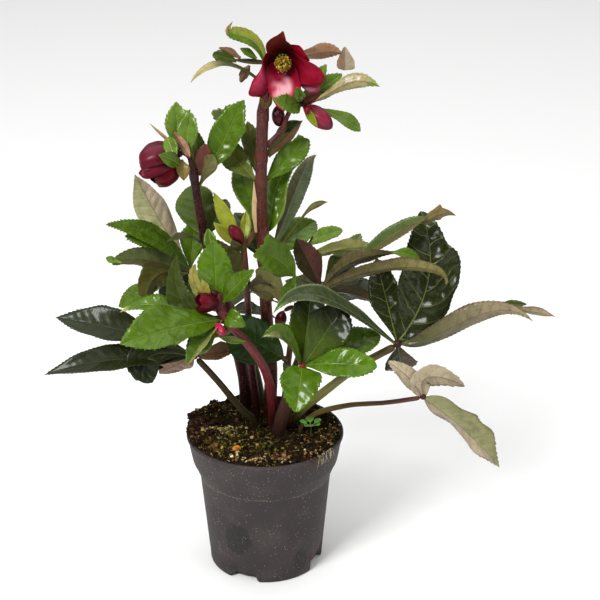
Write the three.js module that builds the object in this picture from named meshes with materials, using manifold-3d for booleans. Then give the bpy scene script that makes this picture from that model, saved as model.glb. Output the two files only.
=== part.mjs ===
// A young hellebore in flower, growing in a round nursery pot.
// Millimetres, +Z up, the front of the plant faces -Y. The origin is the centre of the pot's foot.
//
// The plant is a clump of thick flowering stems and leaf stalks that rise from one crown in the soil.
// A leaf is a fan of toothed leaflets on a stalk; a flowering stem carries clasping rings of bracts,
// which are small leaves, and nodding blooms of five sepals round a brush of stamens.
// Every blade is one thin folded sheet: a midrib curve, a width profile along it and teeth at the margin.

import * as THREE from "three";
import { mergeVertices } from "three/addons/utils/BufferGeometryUtils.js";
import Module from "manifold-3d";

const wasm = await Module();
wasm.setup();

// ---------------------------------------------------------------- driving dimensions

const POT = {
  height: 118,
  lipRadius: 65,
  bandFootRadius: 60, // lower edge of the upright band under the lip
  bandFootHeight: 94,
  bodyTopRadius: 54.6, // the body starts here, under the band's shoulder
  bodyTopHeight: 82,
  footRadius: 47.5,
  footBevel: [1.5, 2], // the foot's outer edge is cut back by this much, up to this height
  lipBand: 2.4, // height of the thin lip that stands out at the top
  lipStep: 0.8, // how far it stands out
  wall: 1.8,
  notches: 4,
  notchWidth: 23,
  notchTopWidth: 14.4,
  notchHeight: 7,
  notchDepth: 7, // how far a drainage notch reaches in under the floor's edge
  notchTurn: -28, // degrees from the front to the first drainage notch
  sides: 28,
};
const CLEARANCE = 0.35; // gap between touching pieces
const BLADE = 0.8; // thickness of a leaf blade
const SEPAL = 0.9; // thickness of a sepal
const ROOT_DEPTH = 15; // how deep the stems stand in the soil
const TUBE_SIDES = 6;
const THIN_SIDES = 5; // sides of a leaflet's own stalk
const RING_SIDES = 7;
const BALL_SIDES = [6, 4];
const TUBE_STEP = 21; // longest stretch of a stem between two rings of points
const SLIVER = 0.05; // triangles thinner than this are merged into their neighbours

const COLOURS = {
  pot: [0x2c2a2c, 0.62],
  soil: [0x2e2218, 0.95],
  stem: [0x54242b, 0.5],
  stalk: [0x5d5a33, 0.5],
  mature: [0x2c4420, 0.35],
  young: [0x4d8a1f, 0.38],
  bronze: [0x7c7550, 0.5],
  lime: [0x9dbb35, 0.45],
  sepal: [0xa01c3c, 0.45],
  bud: [0x7a1a30, 0.4],
  stamen: [0xb9942c, 0.7],
  seedling: [0x5fa03c, 0.5],
};

// ---------------------------------------------------------------- small tools

const vec = (p) => new THREE.Vector3(...p);
const lerp = (a, b, t) => a + (b - a) * t;

// A closed geometry from a list of points and triangles.
function closedGeometry(points, triangles) {
  const geometry = new THREE.BufferGeometry();
  geometry.setAttribute("position", new THREE.Float32BufferAttribute(points.flatMap((p) => p.toArray()), 3));
  geometry.setIndex(triangles);
  return geometry;
}

// A closed geometry as a solid for joining and cutting, turned the right way out.
function solidOf(geometry) {
  const bare = geometry.clone();
  bare.deleteAttribute("normal");
  bare.deleteAttribute("uv");
  const merged = mergeVertices(bare, 1e-4);
  const triVerts = new Uint32Array(merged.index.array);
  const vertProperties = new Float32Array(merged.attributes.position.array);
  const made = new wasm.Manifold(new wasm.Mesh({ numProp: 3, vertProperties, triVerts }));
  if (made.volume() >= 0) return made;
  triVerts.reverse();
  return new wasm.Manifold(new wasm.Mesh({ numProp: 3, vertProperties, triVerts }));
}

const joined = (solids) => wasm.Manifold.union(solids);

function geometryOf(solid) {
  const mesh = solid.getMesh();
  const geometry = new THREE.BufferGeometry();
  const points = new Float32Array(mesh.numVert * 3);
  for (let i = 0; i < mesh.numVert; i++) {
    points.set(mesh.vertProperties.subarray(i * mesh.numProp, i * mesh.numProp + 3), i * 3);
  }
  geometry.setAttribute("position", new THREE.BufferAttribute(points, 3));
  geometry.setIndex(new THREE.BufferAttribute(new Uint32Array(mesh.triVerts), 1));
  geometry.computeVertexNormals();
  return geometry;
}

// A tapered tube along a smooth curve through the given points; grow makes it fatter and longer.
function tube(points, radii, grow = 0, sides = TUBE_SIDES) {
  const curve = new THREE.CatmullRomCurve3(points.map(vec));
  const steps = Math.max(points.length - 1, Math.round(curve.getLength() / TUBE_STEP));
  const { normals, binormals, tangents } = curve.computeFrenetFrames(steps, false);
  const ring = [];
  for (let i = 0; i <= steps; i++) {
    const along = i / steps;
    const centre = curve.getPointAt(along);
    if (i === 0) centre.addScaledVector(tangents[0], -grow);
    if (i === steps) centre.addScaledVector(tangents[steps], grow);
    const place = along * (radii.length - 1);
    const step = Math.min(Math.floor(place), radii.length - 2);
    const radius = lerp(radii[step], radii[step + 1], place - step) + grow;
    for (let k = 0; k < sides; k++) {
      const turn = (2 * Math.PI * k) / sides;
      ring.push(
        centre
          .clone()
          .addScaledVector(normals[i], Math.cos(turn) * radius)
          .addScaledVector(binormals[i], Math.sin(turn) * radius),
      );
    }
  }
  const triangles = [];
  for (let i = 0; i < steps; i++) {
    for (let k = 0; k < sides; k++) {
      const a = i * sides + k;
      const b = i * sides + ((k + 1) % sides);
      triangles.push(a, b, a + sides, b, b + sides, a + sides);
    }
  }
  for (let k = 1; k < sides - 1; k++) {
    triangles.push(0, k + 1, k);
    const end = steps * sides;
    triangles.push(end, end + k, end + k + 1);
  }
  return solidOf(closedGeometry(ring, triangles));
}

function ball(centre, radius, grow = 0) {
  const geometry = new THREE.SphereGeometry(radius + grow, ...BALL_SIDES);
  geometry.translate(...centre);
  return solidOf(geometry);
}

// ---------------------------------------------------------------- the blade

// Which way a blade's upper face looks, as short words.
const FACES = {
  front: [0, -1, 0.15],
  slope: [0, -0.7, 0.7],
  top: [0, -0.25, 1],
  away: [0, 1, 0.1],
  awayTop: [0, 0.8, 0.6],
};
const NARROW = 15; // a blade under this width is flat across, with no fold at its midrib
const BLADE_DEFAULTS = {
  arch: [6, 6], // how far the two control points of the midrib rise to the upper face
  sway: 0, // how far they lean to the side
  fold: 0.28, // how steeply the two halves rise from the midrib, in radians
  round: 1, // 1 for straight halves, 2 for a cupped section
  widest: 0.52, // where along the blade it is widest
  teeth: 0.1, // share of the half width that the teeth stand out
  twist: 0, // turn of the blade about its midrib at the tip, in radians
  wave: 0.06, // height of the waves in the margin, as a share of the width
  full: 1, // under 1 makes the outline rounder
  neck: 1.3, // half width of the stalked base
  point: 0.7, // half width of the tip
  thick: BLADE,
};

// Half width of a blade along it, from 0 at the base to 1 at its widest.
function profile(along, widest, full) {
  const eased = Math.pow(along, Math.log(0.5) / Math.log(widest));
  return Math.pow(Math.max(0, Math.sin(Math.PI * eased)), full);
}

// One blade from root to tip. Its midrib is a cubic curve whose two middle control points are raised
// by arch; at each station the section spreads along the side vector and rises by the fold.
function blade(root, tip, width, face, options = {}, grow = 0) {
  const o = { ...BLADE_DEFAULTS, ...options };
  const start = vec(root);
  const end = vec(tip);
  const chord = end.clone().sub(start);
  const length = chord.length();
  const along = chord.clone().normalize();
  const up = vec(typeof face === "string" ? FACES[face] : face);
  up.addScaledVector(along, -up.dot(along)).normalize();
  const side = along.clone().cross(up);
  const control = (share, rise) =>
    start
      .clone()
      .addScaledVector(along, share * length)
      .addScaledVector(up, rise)
      .addScaledVector(side, o.sway);
  const rib = new THREE.CubicBezierCurve3(start, control(0.33, o.arch[0]), control(0.7, o.arch[1]), end);
  const stations = o.stations ?? (length > 90 ? 7 : length > 62 ? 6 : length > 30 ? 5 : 4);
  const strips = o.strips ?? (width < NARROW ? 1 : 2);
  const half = o.thick / 2 + grow;
  const columns = strips + 1;
  const top = [];
  const bottom = [];
  for (let i = 0; i <= stations; i++) {
    const u = i / stations;
    const centre = rib.getPoint(u);
    const forward = rib.getTangent(u);
    const normal = up.clone().addScaledVector(forward, -up.dot(forward)).normalize();
    normal.applyAxisAngle(forward, o.twist * u);
    const across = forward.clone().cross(normal);
    const tooth = i % 2 ? o.teeth : -o.teeth;
    const shape = profile(u, o.widest, o.full);
    const slack = lerp(o.neck, o.point, u);
    const reach = Math.max((width / 2) * shape * (1 + tooth), slack) + grow;
    for (let c = 0; c < columns; c++) {
      const v = (2 * c) / strips - 1;
      const edge = v * v;
      const ripple = o.wave * width * shape * edge * Math.sin(u * 9 + v * 2);
      const point = centre
        .clone()
        .addScaledVector(across, v * reach * Math.cos(o.fold))
        .addScaledVector(normal, Math.pow(Math.abs(v), o.round) * reach * Math.sin(o.fold) + ripple)
        .addScaledVector(forward, (edge * tooth * shape * length) / stations);
      top.push(point.clone().addScaledVector(normal, half));
      bottom.push(point.clone().addScaledVector(normal, -half));
    }
  }
  const points = [...top, ...bottom];
  const under = top.length;
  const triangles = [];
  const quad = (a, b, c, d) => triangles.push(a, b, c, a, c, d);
  for (let i = 0; i < stations; i++) {
    for (let c = 0; c < columns - 1; c++) {
      const a = i * columns + c;
      const b = a + 1;
      const d = a + columns;
      const e = d + 1;
      triangles.push(a, b, e, a, e, d);
      triangles.push(under + a, under + e, under + b, under + a, under + d, under + e);
    }
    const left = i * columns;
    const right = left + columns - 1;
    quad(left, left + columns, under + left + columns, under + left);
    quad(right, under + right, under + right + columns, right + columns);
  }
  for (let c = 0; c < columns - 1; c++) {
    quad(c + 1, c, under + c, under + c + 1);
    const last = stations * columns + c;
    quad(last, last + 1, under + last + 1, under + last);
  }
  return solidOf(closedGeometry(points, triangles));
}

// ---------------------------------------------------------------- pot and soil

function potSolid() {
  const p = POT;
  const inner = (radius) => radius - p.wall;
  const outline = [
    [0, 0],
    [p.footRadius - p.footBevel[0], 0],
    [p.footRadius, p.footBevel[1]],
    [p.bodyTopRadius, p.bodyTopHeight],
    [p.bandFootRadius, p.bandFootHeight],
    [p.lipRadius - p.lipStep, p.height - p.lipBand - p.lipStep],
    [p.lipRadius, p.height - p.lipBand],
    [p.lipRadius - p.lipStep / 2, p.height],
    [inner(p.lipRadius), p.height],
    [inner(p.bandFootRadius), p.bandFootHeight + 0.6],
    [inner(p.bodyTopRadius), p.bodyTopHeight - 1],
    [inner(p.footRadius), p.wall],
    [0, p.wall],
  ]; // from the middle of the foot, up the outside, over the lip and down the inside
  const profileLine = outline.map(([radius, height]) => new THREE.Vector2(radius, height));
  const shell = solidOf(new THREE.LatheGeometry(profileLine, p.sides).rotateX(Math.PI / 2));
  const overrun = 4; // the cutter runs this far past the pot's outside and under its foot
  const gate = new THREE.Shape();
  gate.moveTo(-p.notchWidth / 2, -overrun);
  gate.lineTo(-p.notchWidth / 2, 0);
  gate.lineTo(-p.notchTopWidth / 2, p.notchHeight);
  gate.lineTo(p.notchTopWidth / 2, p.notchHeight);
  gate.lineTo(p.notchWidth / 2, 0);
  gate.lineTo(p.notchWidth / 2, -overrun);
  gate.closePath();
  const notches = [];
  for (let k = 0; k < p.notches; k++) {
    const cutter = new THREE.ExtrudeGeometry(gate, { depth: p.notchDepth + overrun, bevelEnabled: false });
    cutter.rotateX(Math.PI / 2);
    cutter.translate(0, p.notchDepth - p.footRadius, 0);
    cutter.rotateZ(THREE.MathUtils.degToRad(p.notchTurn + (360 / p.notches) * k));
    notches.push(solidOf(cutter));
  }
  return shell.subtract(joined(notches));
}

const SOIL = {
  sides: 16,
  rings: [0.3, 0.6, 0.88],
  level: 117,
  crown: 2.4, // the middle stands this much higher than the edge
  leftRise: 6, // and the left and back edge this much higher than the front
  riseTowards: [-0.75, 0.65],
  bump: 1.5,
  // A sum of waves that run in different directions: each is [x rate, y rate, shift].
  waves: [
    [0.11, 0.05, 0.4],
    [-0.07, 0.13, 1.9],
    [0.21, 0.17, 4.1],
    [0.29, -0.23, 2.2],
  ],
  fade: 0.7, // how fast the later waves get lower
  edgeDrop: 1.5, // the soil's edge lies this much under its surface and under the pot's lip
  sideGap: 0.5, // gap to the pot's wall
  edgeGap: 1.1, // and to its lip
};

function soilHeight(x, y) {
  const reach = Math.hypot(x, y) / POT.lipRadius;
  const lean = (x * SOIL.riseTowards[0] + y * SOIL.riseTowards[1]) / POT.lipRadius;
  const bumps = SOIL.waves.reduce(
    (sum, [rateX, rateY, shift], i) => sum + Math.sin(rateX * x + rateY * y + shift) / (1 + i * SOIL.fade),
    0,
  );
  const rise = Math.max(0, lean) * SOIL.leftRise * reach;
  return SOIL.level + SOIL.bump * bumps + rise + SOIL.crown * (1 - reach);
}

function soilSolid() {
  const inset = POT.wall + SOIL.sideGap;
  const floor = POT.wall + CLEARANCE;
  const walls = [
    [POT.footRadius - inset, floor],
    [POT.bodyTopRadius - inset, POT.bodyTopHeight - 1.5],
    [POT.bandFootRadius - inset, POT.bandFootHeight + 0.6],
  ]; // radius and height where the ball's side follows the pot's inside
  const points = [new THREE.Vector3(0, 0, floor)];
  const circle = (radius, heightAt) => {
    for (let k = 0; k < SOIL.sides; k++) {
      const turn = (2 * Math.PI * k) / SOIL.sides;
      const x = radius * Math.cos(turn);
      const y = radius * Math.sin(turn);
      points.push(new THREE.Vector3(x, y, heightAt(x, y)));
    }
  };
  for (const [radius, height] of walls) circle(radius, () => height);
  const rim = POT.lipRadius - POT.wall - SOIL.edgeGap;
  circle(rim, (x, y) => Math.min(POT.height, soilHeight(x, y)) - SOIL.edgeDrop);
  for (const share of [...SOIL.rings].reverse()) circle(rim * share, soilHeight);
  points.push(new THREE.Vector3(0, 0, soilHeight(0, 0)));
  const triangles = [];
  const rings = (points.length - 2) / SOIL.sides;
  for (let k = 0; k < SOIL.sides; k++) {
    const next = (k + 1) % SOIL.sides;
    triangles.push(0, 1 + next, 1 + k);
    const last = 1 + (rings - 1) * SOIL.sides;
    triangles.push(points.length - 1, last + k, last + next);
    for (let r = 0; r < rings - 1; r++) {
      const a = 1 + r * SOIL.sides;
      const b = a + SOIL.sides;
      triangles.push(a + k, a + next, b + k, a + next, b + next, b + k);
    }
  }
  return solidOf(closedGeometry(points, triangles));
}

// ---------------------------------------------------------------- stems and stalks

// Each stem starts in the soil and is a list of points and the radii along it. The first point is on
// the soil's surface; the stem goes on ROOT_DEPTH below it.
const STEMS = {
  stem_tall: {
    colour: "stem",
    points: [[3, 18, 119], [5, 11, 165], [2, 3, 220], [0, 0, 270], [-1, -1, 330], [1, 0, 394]],
    radii: [5.4, 4.6, 4.4, 4.6],
    branches: [
      { points: [[1, 0, 390], [3, 9, 407], [8, 14, 421], [14, 10, 428]], radii: [3, 2.2, 1.9] },
      { points: [[1, 0, 358], [14, 2, 371], [22, 0, 388], [31, 0, 396]], radii: [2.2, 1.8, 1.8] },
      { points: [[1, 0, 388], [4, 4, 396], [9, 7, 396], [12, 7, 390.4]], radii: [1.6, 1.3] },
    ],
  },
  stem_left: {
    colour: "stem",
    points: [
      [-17, 34, 119],
      [-18, 31, 150],
      [-26, 25, 195],
      [-36, 18, 240],
      [-46, 6, 285],
      [-50, -2, 318],
      [-53, -10, 348],
    ],
    radii: [5.4, 4.6, 3.8, 3.2],
    branches: [{ points: [[-53, -10, 344], [-55, -11, 355], [-60, -13, 359]], radii: [2, 1.7] }],
  },
  stem_short: {
    colour: "stem",
    points: [[-7, 27, 119], [-12, 15, 180], [-13, 5, 232], [-14, -5, 268], [-15, -8, 284]],
    radii: [3.2, 2.7, 2.2],
  },
  stem_front: {
    colour: "stem",
    points: [
      [6, 4, 119],
      [7, -8, 142],
      [1, -30, 187],
      [-13, -42, 216],
      [-24, -46, 231],
      [-33, -47, 246],
      [-33, -47, 255],
    ],
    radii: [4.3, 3.6, 3.3, 2.6],
    branches: [{ points: [[-24, -46, 231], [-31, -51, 236], [-35, -54, 236]], radii: [1.3, 1.1] }],
  },
  stem_hooked: {
    colour: "stem",
    points: [[15, 12, 119], [18, 6, 160], [22, -4, 200], [27, -8, 220], [23, -9, 231], [16, -9, 228]],
    radii: [2.8, 2.4, 1.8],
  },
  stalk_right: {
    colour: "stalk",
    points: [[23, 11, 119], [30, 8, 132], [47, 3, 150], [78, -4, 179], [105, -10, 198]],
    radii: [4, 3.4, 3.2],
  },
  stalk_low: {
    colour: "stalk",
    points: [[29, 1, 119], [40, 5, 129], [66, -4, 142], [100, -20, 153], [125, -30, 162]],
    radii: [2.4, 2, 1.9],
  },
  stalk_left: {
    colour: "stalk",
    points: [[-7, 5, 119], [-21, -2, 140], [-39, -12, 170], [-53, -19, 191]],
    radii: [3.2, 2.7, 2.6],
  },
  stalk_front: {
    colour: "stalk",
    points: [[11, -10, 119], [17, -19, 150], [26, -36, 182], [31, -44, 195]],
    radii: [5.6, 4, 2.4],
  },
  stalk_middle: {
    colour: "stalk",
    points: [[19, 1, 119], [20, -6, 150], [17, -14, 186]],
    radii: [2.6, 2.2],
  },
  stalk_upper_left: {
    colour: "stalk",
    points: [[-13, 46, 119], [-17, 44, 175], [-32, 34, 222], [-57, 14, 252]],
    radii: [3, 2.6, 2.3],
  },
  stalk_upper_right: {
    colour: "stalk",
    points: [[27, 24, 119], [32, 20, 170], [41, 8, 220], [45, 1, 240]],
    radii: [3.2, 2.8, 2.5],
  },
  stalk_back_left: {
    colour: "stalk",
    points: [[-3, 44, 119], [-12, 58, 155], [-34, 74, 190]],
    radii: [3, 2.4],
  },
  stalk_back_right: {
    colour: "stalk",
    points: [[14, 38, 119], [28, 54, 160], [54, 72, 200]],
    radii: [3, 2.4],
  },
};

function stemParts(stem, grow) {
  const [x, y, z] = stem.points[0];
  const main = tube([[x, y, z - ROOT_DEPTH], ...stem.points], [stem.radii[0], ...stem.radii], grow);
  const branches = (stem.branches ?? []).map((branch) => tube(branch.points, branch.radii, grow));
  return [main, ...branches];
}

// ---------------------------------------------------------------- leaves

// Each fan of blades springs from a hub. A ring hub clasps a stem of that radius; a knob hub sits on a
// stalk's end. A blade is [tip, width, which way its upper face looks, options].
const FANS = {
  leaf_right: {
    colour: "mature",
    hub: [107, -10, 200],
    knob: 3.6,
    blades: [
      [[11, -60, 249], 17, [0.2, -0.35, 1], { arch: [24, 46], widest: 0.5 }],
      [[91, 30, 259], 26, [-0.2, -1, 0.35], { arch: [0, 6], widest: 0.55 }],
      [
        [125, 25, 300],
        46,
        [0, -1, 0.25],
        { arch: [4, 8], sway: 20, widest: 0.58, full: 0.8, fold: 0.15, strips: 4 },
      ],
      [[227, -30, 232], 25, [0, 1, 0.2], { arch: [6, 6], sway: 22, widest: 0.5 }],
      [[129, 20, 166], 25, [-0.3, -1, 0.3], { arch: [2, 2], widest: 0.6, full: 0.8 }],
    ],
  },
  leaf_low: {
    colour: "bronze",
    hub: [127, -30, 163],
    knob: 2.6,
    blades: [
      [[105, -20, 187], 24, [0.1, 1, 0], { arch: [0, 0], widest: 0.55 }],
      [[165, 0, 156], 24, [0, 1, 0.35], { arch: [12, 8], widest: 0.48 }],
      [[187, -55, 113], 30, [0.5, 0.8, 0.3], { arch: [6, 6], widest: 0.45, wave: 0.12 }],
    ],
  },
  leaf_left: {
    colour: "mature",
    hub: [-55, -20, 194],
    knob: 3,
    blades: [
      [[-164, -15, 225], 30, [0, -0.5, 0.85], { arch: [15, 6], widest: 0.6 }],
      [[-170, -45, 189], 26, [0, -0.5, 0.85], { arch: [8, 14], widest: 0.46 }],
      [[-90, -38, 178], 28, [0, -0.8, 0.6], { arch: [0, 2], widest: 0.62, full: 0.8 }],
      [[-88, 20, 156], 25, [0, 1, 0.2], { arch: [4, 4] }],
      [[-23, 18, 182], 18, [0.1, 1, 0], { arch: [0, 0] }],
    ],
  },
  leaf_front: {
    colour: "young",
    hub: [31, -45, 197],
    knob: 2.8,
    blades: [
      [[25, -76, 171], 34, [0, -1, 0.8], { arch: [7, 4], widest: 0.42, full: 0.85 }],
      [[81, -60, 211], 24, "slope", { arch: [7, 5] }],
      [[65, -33, 236], 30, [-0.3, -1, 0.2], { arch: [5, 4], widest: 0.58 }],
      [[40, -12, 239], 28, [0.2, -1, 0.3], { arch: [-2, 0], widest: 0.58 }],
      [[0, -62, 228], 14, [0.3, -0.6, 0.8], { arch: [4, 12], twist: -0.5 }],
      [[89, -12, 209], 26, [0, -0.5, 0.85], { arch: [5, 5] }],
    ],
  },
  leaf_middle: {
    colour: "mature",
    hub: [17, -15, 189],
    knob: 2.6,
    blades: [
      [[-32, 0, 213], 34, [0, -1, 0.45], { arch: [3, 3], widest: 0.5, full: 0.85 }],
    ],
  },
  leaf_upper_left: {
    colour: "bronze",
    hub: [-59, 12, 254],
    knob: 2.8,
    blades: [
      [[-118, -30, 307], 25, "slope", { arch: [15, 14] }],
      [[-57, 50, 284], 21, "slope", { arch: [0, 2], widest: 0.58 }],
      [[-102, 30, 329], 22, [0.4, 0.9, 0.1], { arch: [4, 8], widest: 0.55 }],
      [[-116, -20, 270], 21, [0, 0.2, 1], { arch: [8, 6], fold: 0.7 }],
      [[-95, -12, 239], 26, [0, 0.7, 0.7], { arch: [14, 10], widest: 0.55 }],
      [[-121, 30, 219], 22, "awayTop", { arch: [9, 8] }],
      [[-84, 58, 208], 24, [0, 0.3, 1], { arch: [2, 4], widest: 0.58 }],
    ],
  },
  leaf_upper_right: {
    colour: "bronze",
    hub: [46, 0, 242],
    knob: 3,
    blades: [
      [[152, 10, 302], 16, "slope", { arch: [2, 4], sway: -9, widest: 0.6, twist: 1.1 }],
      [[122, -20, 278], 15, "awayTop", { arch: [12, 12], sway: 5, widest: 0.6, twist: 1.2 }],
      [[139, -50, 268], 20, "awayTop", { arch: [12, 20] }],
      [[26, 8, 283], 22, [0.1, 1, 0.1], { arch: [2, 2], widest: 0.55 }],
      [[80, 70, 266], 20, "slope", { arch: [-8, -2], widest: 0.6 }],
      [[93, 20, 223], 15, "awayTop", { arch: [6, 4] }],
    ],
    stalked: [
      {
        root: [25, -24, 263],
        blades: [[[-6, -50, 289], 25, [0.1, -1, 0.5], { arch: [3, 3], widest: 0.42 }]],
      },
      {
        root: [40, 15, 261],
        blades: [
          [[95, 32, 274], 21, [0, 0.9, 0.4], { arch: [4, 6], widest: 0.48 }],
          [[61, 29, 291], 20, [0.2, -0.8, 0.7], { arch: [0, 0], widest: 0.54 }],
        ],
      },
    ],
  },
  leaf_back_left: {
    colour: "mature",
    hub: [-35, 75, 192],
    knob: 2.8,
    blades: [
      [[-96, 98, 190], 26, "top", { arch: [8, 8] }],
      [[-74, 130, 180], 27, "top", { arch: [10, 10] }],
      [[-12, 136, 186], 26, [0, 0.3, 1], { arch: [10, 10] }],
      [[8, 100, 176], 22, "top", { arch: [7, 7] }],
      [[-78, 82, 228], 22, "slope", { arch: [4, 4] }],
    ],
  },
  leaf_back_right: {
    colour: "mature",
    hub: [55, 73, 202],
    knob: 2.8,
    blades: [
      [[112, 92, 206], 26, "top", { arch: [8, 8] }],
      [[98, 134, 196], 26, "top", { arch: [10, 10] }],
      [[56, 144, 190], 26, [0, 0.3, 1], { arch: [10, 10] }],
      [[16, 122, 204], 23, "top", { arch: [7, 7] }],
    ],
  },
  bracts_front_low: {
    colour: "young",
    hub: [-29, -47, 239],
    axis: [-0.6, -0.1, 0.8],
    ring: 3,
    blades: [
      [[-104, -86, 233], 38, [0, -0.55, 0.85], { arch: [5, 5], widest: 0.5, full: 0.9, teeth: 0.14 }],
      [[-55, -90, 217], 17, [0.1, -0.6, 0.8], { arch: [1, 3], widest: 0.6 }],
      [[-62, -34, 208], 18, "slope", { arch: [5, 5] }],
      [[-12, -64, 238], 13, [-0.3, -0.8, 0.6], { arch: [8, 8] }],
    ],
  },
  bracts_front_high: {
    colour: "young",
    hub: [-33, -47, 251],
    axis: [0, 0, 1],
    ring: 3,
    blades: [
      [[-38, -40, 307], 23, [0, -1, 0.2], { arch: [0, -2], widest: 0.52, full: 0.85 }],
      [[-5, -60, 282], 16, [-0.3, -0.8, 0.6], { arch: [4, 4] }],
      [[-57, -42, 281], 11, [0.4, 0.8, 0], { arch: [2, 0] }],
      [[-70, -27, 282], 20, [-0.2, -1, 0.2], { arch: [-4, 2], widest: 0.58 }],
      [[-106, -36, 244], 16, [0, -0.3, 1], { arch: [9, 8], teeth: 0.16 }],
    ],
  },
  bracts_short_top: {
    colour: "lime",
    hub: [-15, -7, 280],
    axis: [0, -0.2, 1],
    ring: 2.2,
    blades: [
      [[-38, 2, 323], 16, "front", { arch: [0, 0], teeth: 0.03 }],
      [[-38, -6, 301], 12, "front", { arch: [-3, 0], teeth: 0.03 }],
      [[-13, 12, 305], 11, "front", { arch: [0, 0], teeth: 0.03 }],
      [[-3, 4, 292], 9, [-0.6, 0.7, 0.2], { arch: [0, 0], teeth: 0.03 }],
      [[-23, -19, 291], 10, [0.3, 1, 0.2], { arch: [-3, -2], teeth: 0.03 }],
    ],
  },
  bracts_short_low: {
    colour: "bronze",
    hub: [-13, -1, 248],
    axis: [0, -0.25, 1],
    ring: 2.4,
    blades: [
      [[14, -36, 268], 14, [0, 0.9, 0.45], { arch: [5, 5] }],
      [[3, -40, 241], 26, [0.1, 0.8, 0.35], { arch: [6, 6], full: 0.85 }],
      [[-39, -16, 291], 24, [0.3, 0.9, 0.3], { arch: [2, 2] }],
    ],
  },
  bracts_left_low: {
    colour: "mature",
    hub: [-46, 7, 283],
    axis: [-0.25, -0.25, 0.95],
    ring: 3.6,
    blades: [
      [[-60, 58, 311], 33, [0, -1, 0.35], { arch: [3, 3], full: 0.85 }],
      [[-30, 40, 305], 18, "slope", { arch: [5, 5] }],
      [[-74, -18, 289], 9, "top", { arch: [7, 5] }],
    ],
  },
  bracts_left_top: {
    colour: "young",
    hub: [-52, -7, 338],
    axis: [-0.1, -0.25, 0.95],
    ring: 3.2,
    blades: [
      [[-66, -2, 396], 18, [0, -1, 0], { arch: [-5, -3], widest: 0.55, teeth: 0.14 }],
      [[-53, 14, 385], 14, [-0.3, -1, 0], { arch: [-4, -3], widest: 0.55 }],
      [[-13, 4, 397], 25, [-0.2, -1, 0.2], { arch: [-4, -2], sway: 8, widest: 0.62, teeth: 0.14 }],
      [[-33, 22, 382], 13, [0.1, -1, 0.2], { arch: [0, 0], widest: 0.6 }],
      [[-42, -8, 366], 11, "front", { arch: [2, 2] }],
      [[-84, 0, 374], 5, "slope", { arch: [4, 4], teeth: 0 }],
      [[-74, -45, 366], 10, [0.2, -0.9, 0.4], { arch: [10, 8] }],
      [[-52, -34, 330], 10, [0, -0.6, 0.8], { arch: [10, 8] }],
    ],
  },
  bracts_tall_low: {
    colour: "mature",
    hub: [0, 0, 268],
    axis: [0, 0, 1],
    ring: 4.5,
    blades: [
      [[43, 45, 341], 21, [0.2, 0.9, 0.2], { arch: [-8, 4], widest: 0.52 }],
      [[51, -8, 318], 16, [-0.7, 0.2, 0.7], { arch: [-6, -2] }],
      [[42, 48, 284], 27, "slope", { arch: [6, 6], widest: 0.55 }],
      [[-24, 46, 292], 22, "slope", { arch: [6, 6] }],
    ],
  },
  bracts_tall_middle: {
    colour: "young",
    hub: [0, -0.5, 291],
    axis: [0, 0, 1],
    ring: 4.5,
    blades: [
      [[-23, 18, 338], 19, [-0.2, -1, 0.1], { arch: [-6, -2], widest: 0.6, full: 0.85 }],
      [[34, 38, 345], 24, [-0.1, -1, 0.2], { arch: [-6, 2], widest: 0.4, full: 0.85 }],
    ],
  },
  bracts_tall_high: {
    colour: "mature",
    hub: [-1, -1, 333],
    axis: [0, 0, 1],
    ring: 4.5,
    blades: [
      [[-33, 20, 357], 21, [0.1, -1, 0.3], { arch: [0, 4], widest: 0.56 }],
      [[-12, 34, 371], 18, [0.4, -1, 0], { arch: [-4, 0], widest: 0.6 }],
      [[38, 24, 358], 22, [-0.2, -1, 0.3], { arch: [0, 4], widest: 0.55 }],
    ],
  },
  bract_tall_side: {
    colour: "bronze",
    hub: [-0.5, -0.5, 352],
    axis: [0, 0, 1],
    ring: 4.6,
    blades: [[[32, 14, 378], 16, [-0.6, 0.1, 0.8], { arch: [-3, -2], fold: 0.6, neck: 3, teeth: 0.02 }]],
  },
  bracts_tall_top_left: {
    colour: "lime",
    hub: [3, 8, 407],
    axis: [0.15, 0.4, 0.9],
    ring: 2.6,
    blades: [
      [[-25, 8, 449], 15, [0.5, -0.8, 0.4], { arch: [2, -6], widest: 0.56, twist: 0.8 }],
      [[-51, -15, 412], 10, "top", { arch: [10, 9], widest: 0.6 }],
      [[-37, 18, 424], 12, "slope", { arch: [2, 2] }],
      [[-32, 34, 430], 9, "awayTop", { arch: [2, 2] }],
      [[-20, 27, 409], 10, "away", { arch: [0, 0] }],
    ],
  },
  bracts_tall_top_right: {
    colour: "young",
    hub: [30, 0, 394],
    axis: [0.7, 0, 0.7],
    ring: 2.2,
    blades: [
      [[69, 38, 409], 13, [0, 1, 0.3], { arch: [4, 4], sway: 22, widest: 0.6 }],
      [[55, 17, 418], 20, [0.2, -1, 0.3], { arch: [2, 2], widest: 0.6, teeth: 0.16 }],
      [[90, -9, 409], 9, "awayTop", { arch: [4, 13], twist: 0.8 }],
      [[79, 2, 368], 15, "slope", { arch: [0, 3], sway: -7, widest: 0.6 }],
      [[40, -27, 377], 9, [-0.3, -1, 0.3], { arch: [3, 3] }],
      [[8, -42, 403], 11, [0, -0.9, 0.5], { arch: [9, 6], teeth: 0.14 }],
    ],
  },
};

const CLASP = { reach: 3.5, lower: 1.5, upper: 1.9 }; // half height of a ring and its wall at both ends
const ROOT_IN_RING = 0.9; // a blade starts this far outside the stem, in the wall of its ring
const ROOT_IN_KNOB = 0.6; // or at this share of the knob's radius
const LEAFLET_STALK = [1.6, 1.3]; // radii of a leaflet's own stalk

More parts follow.
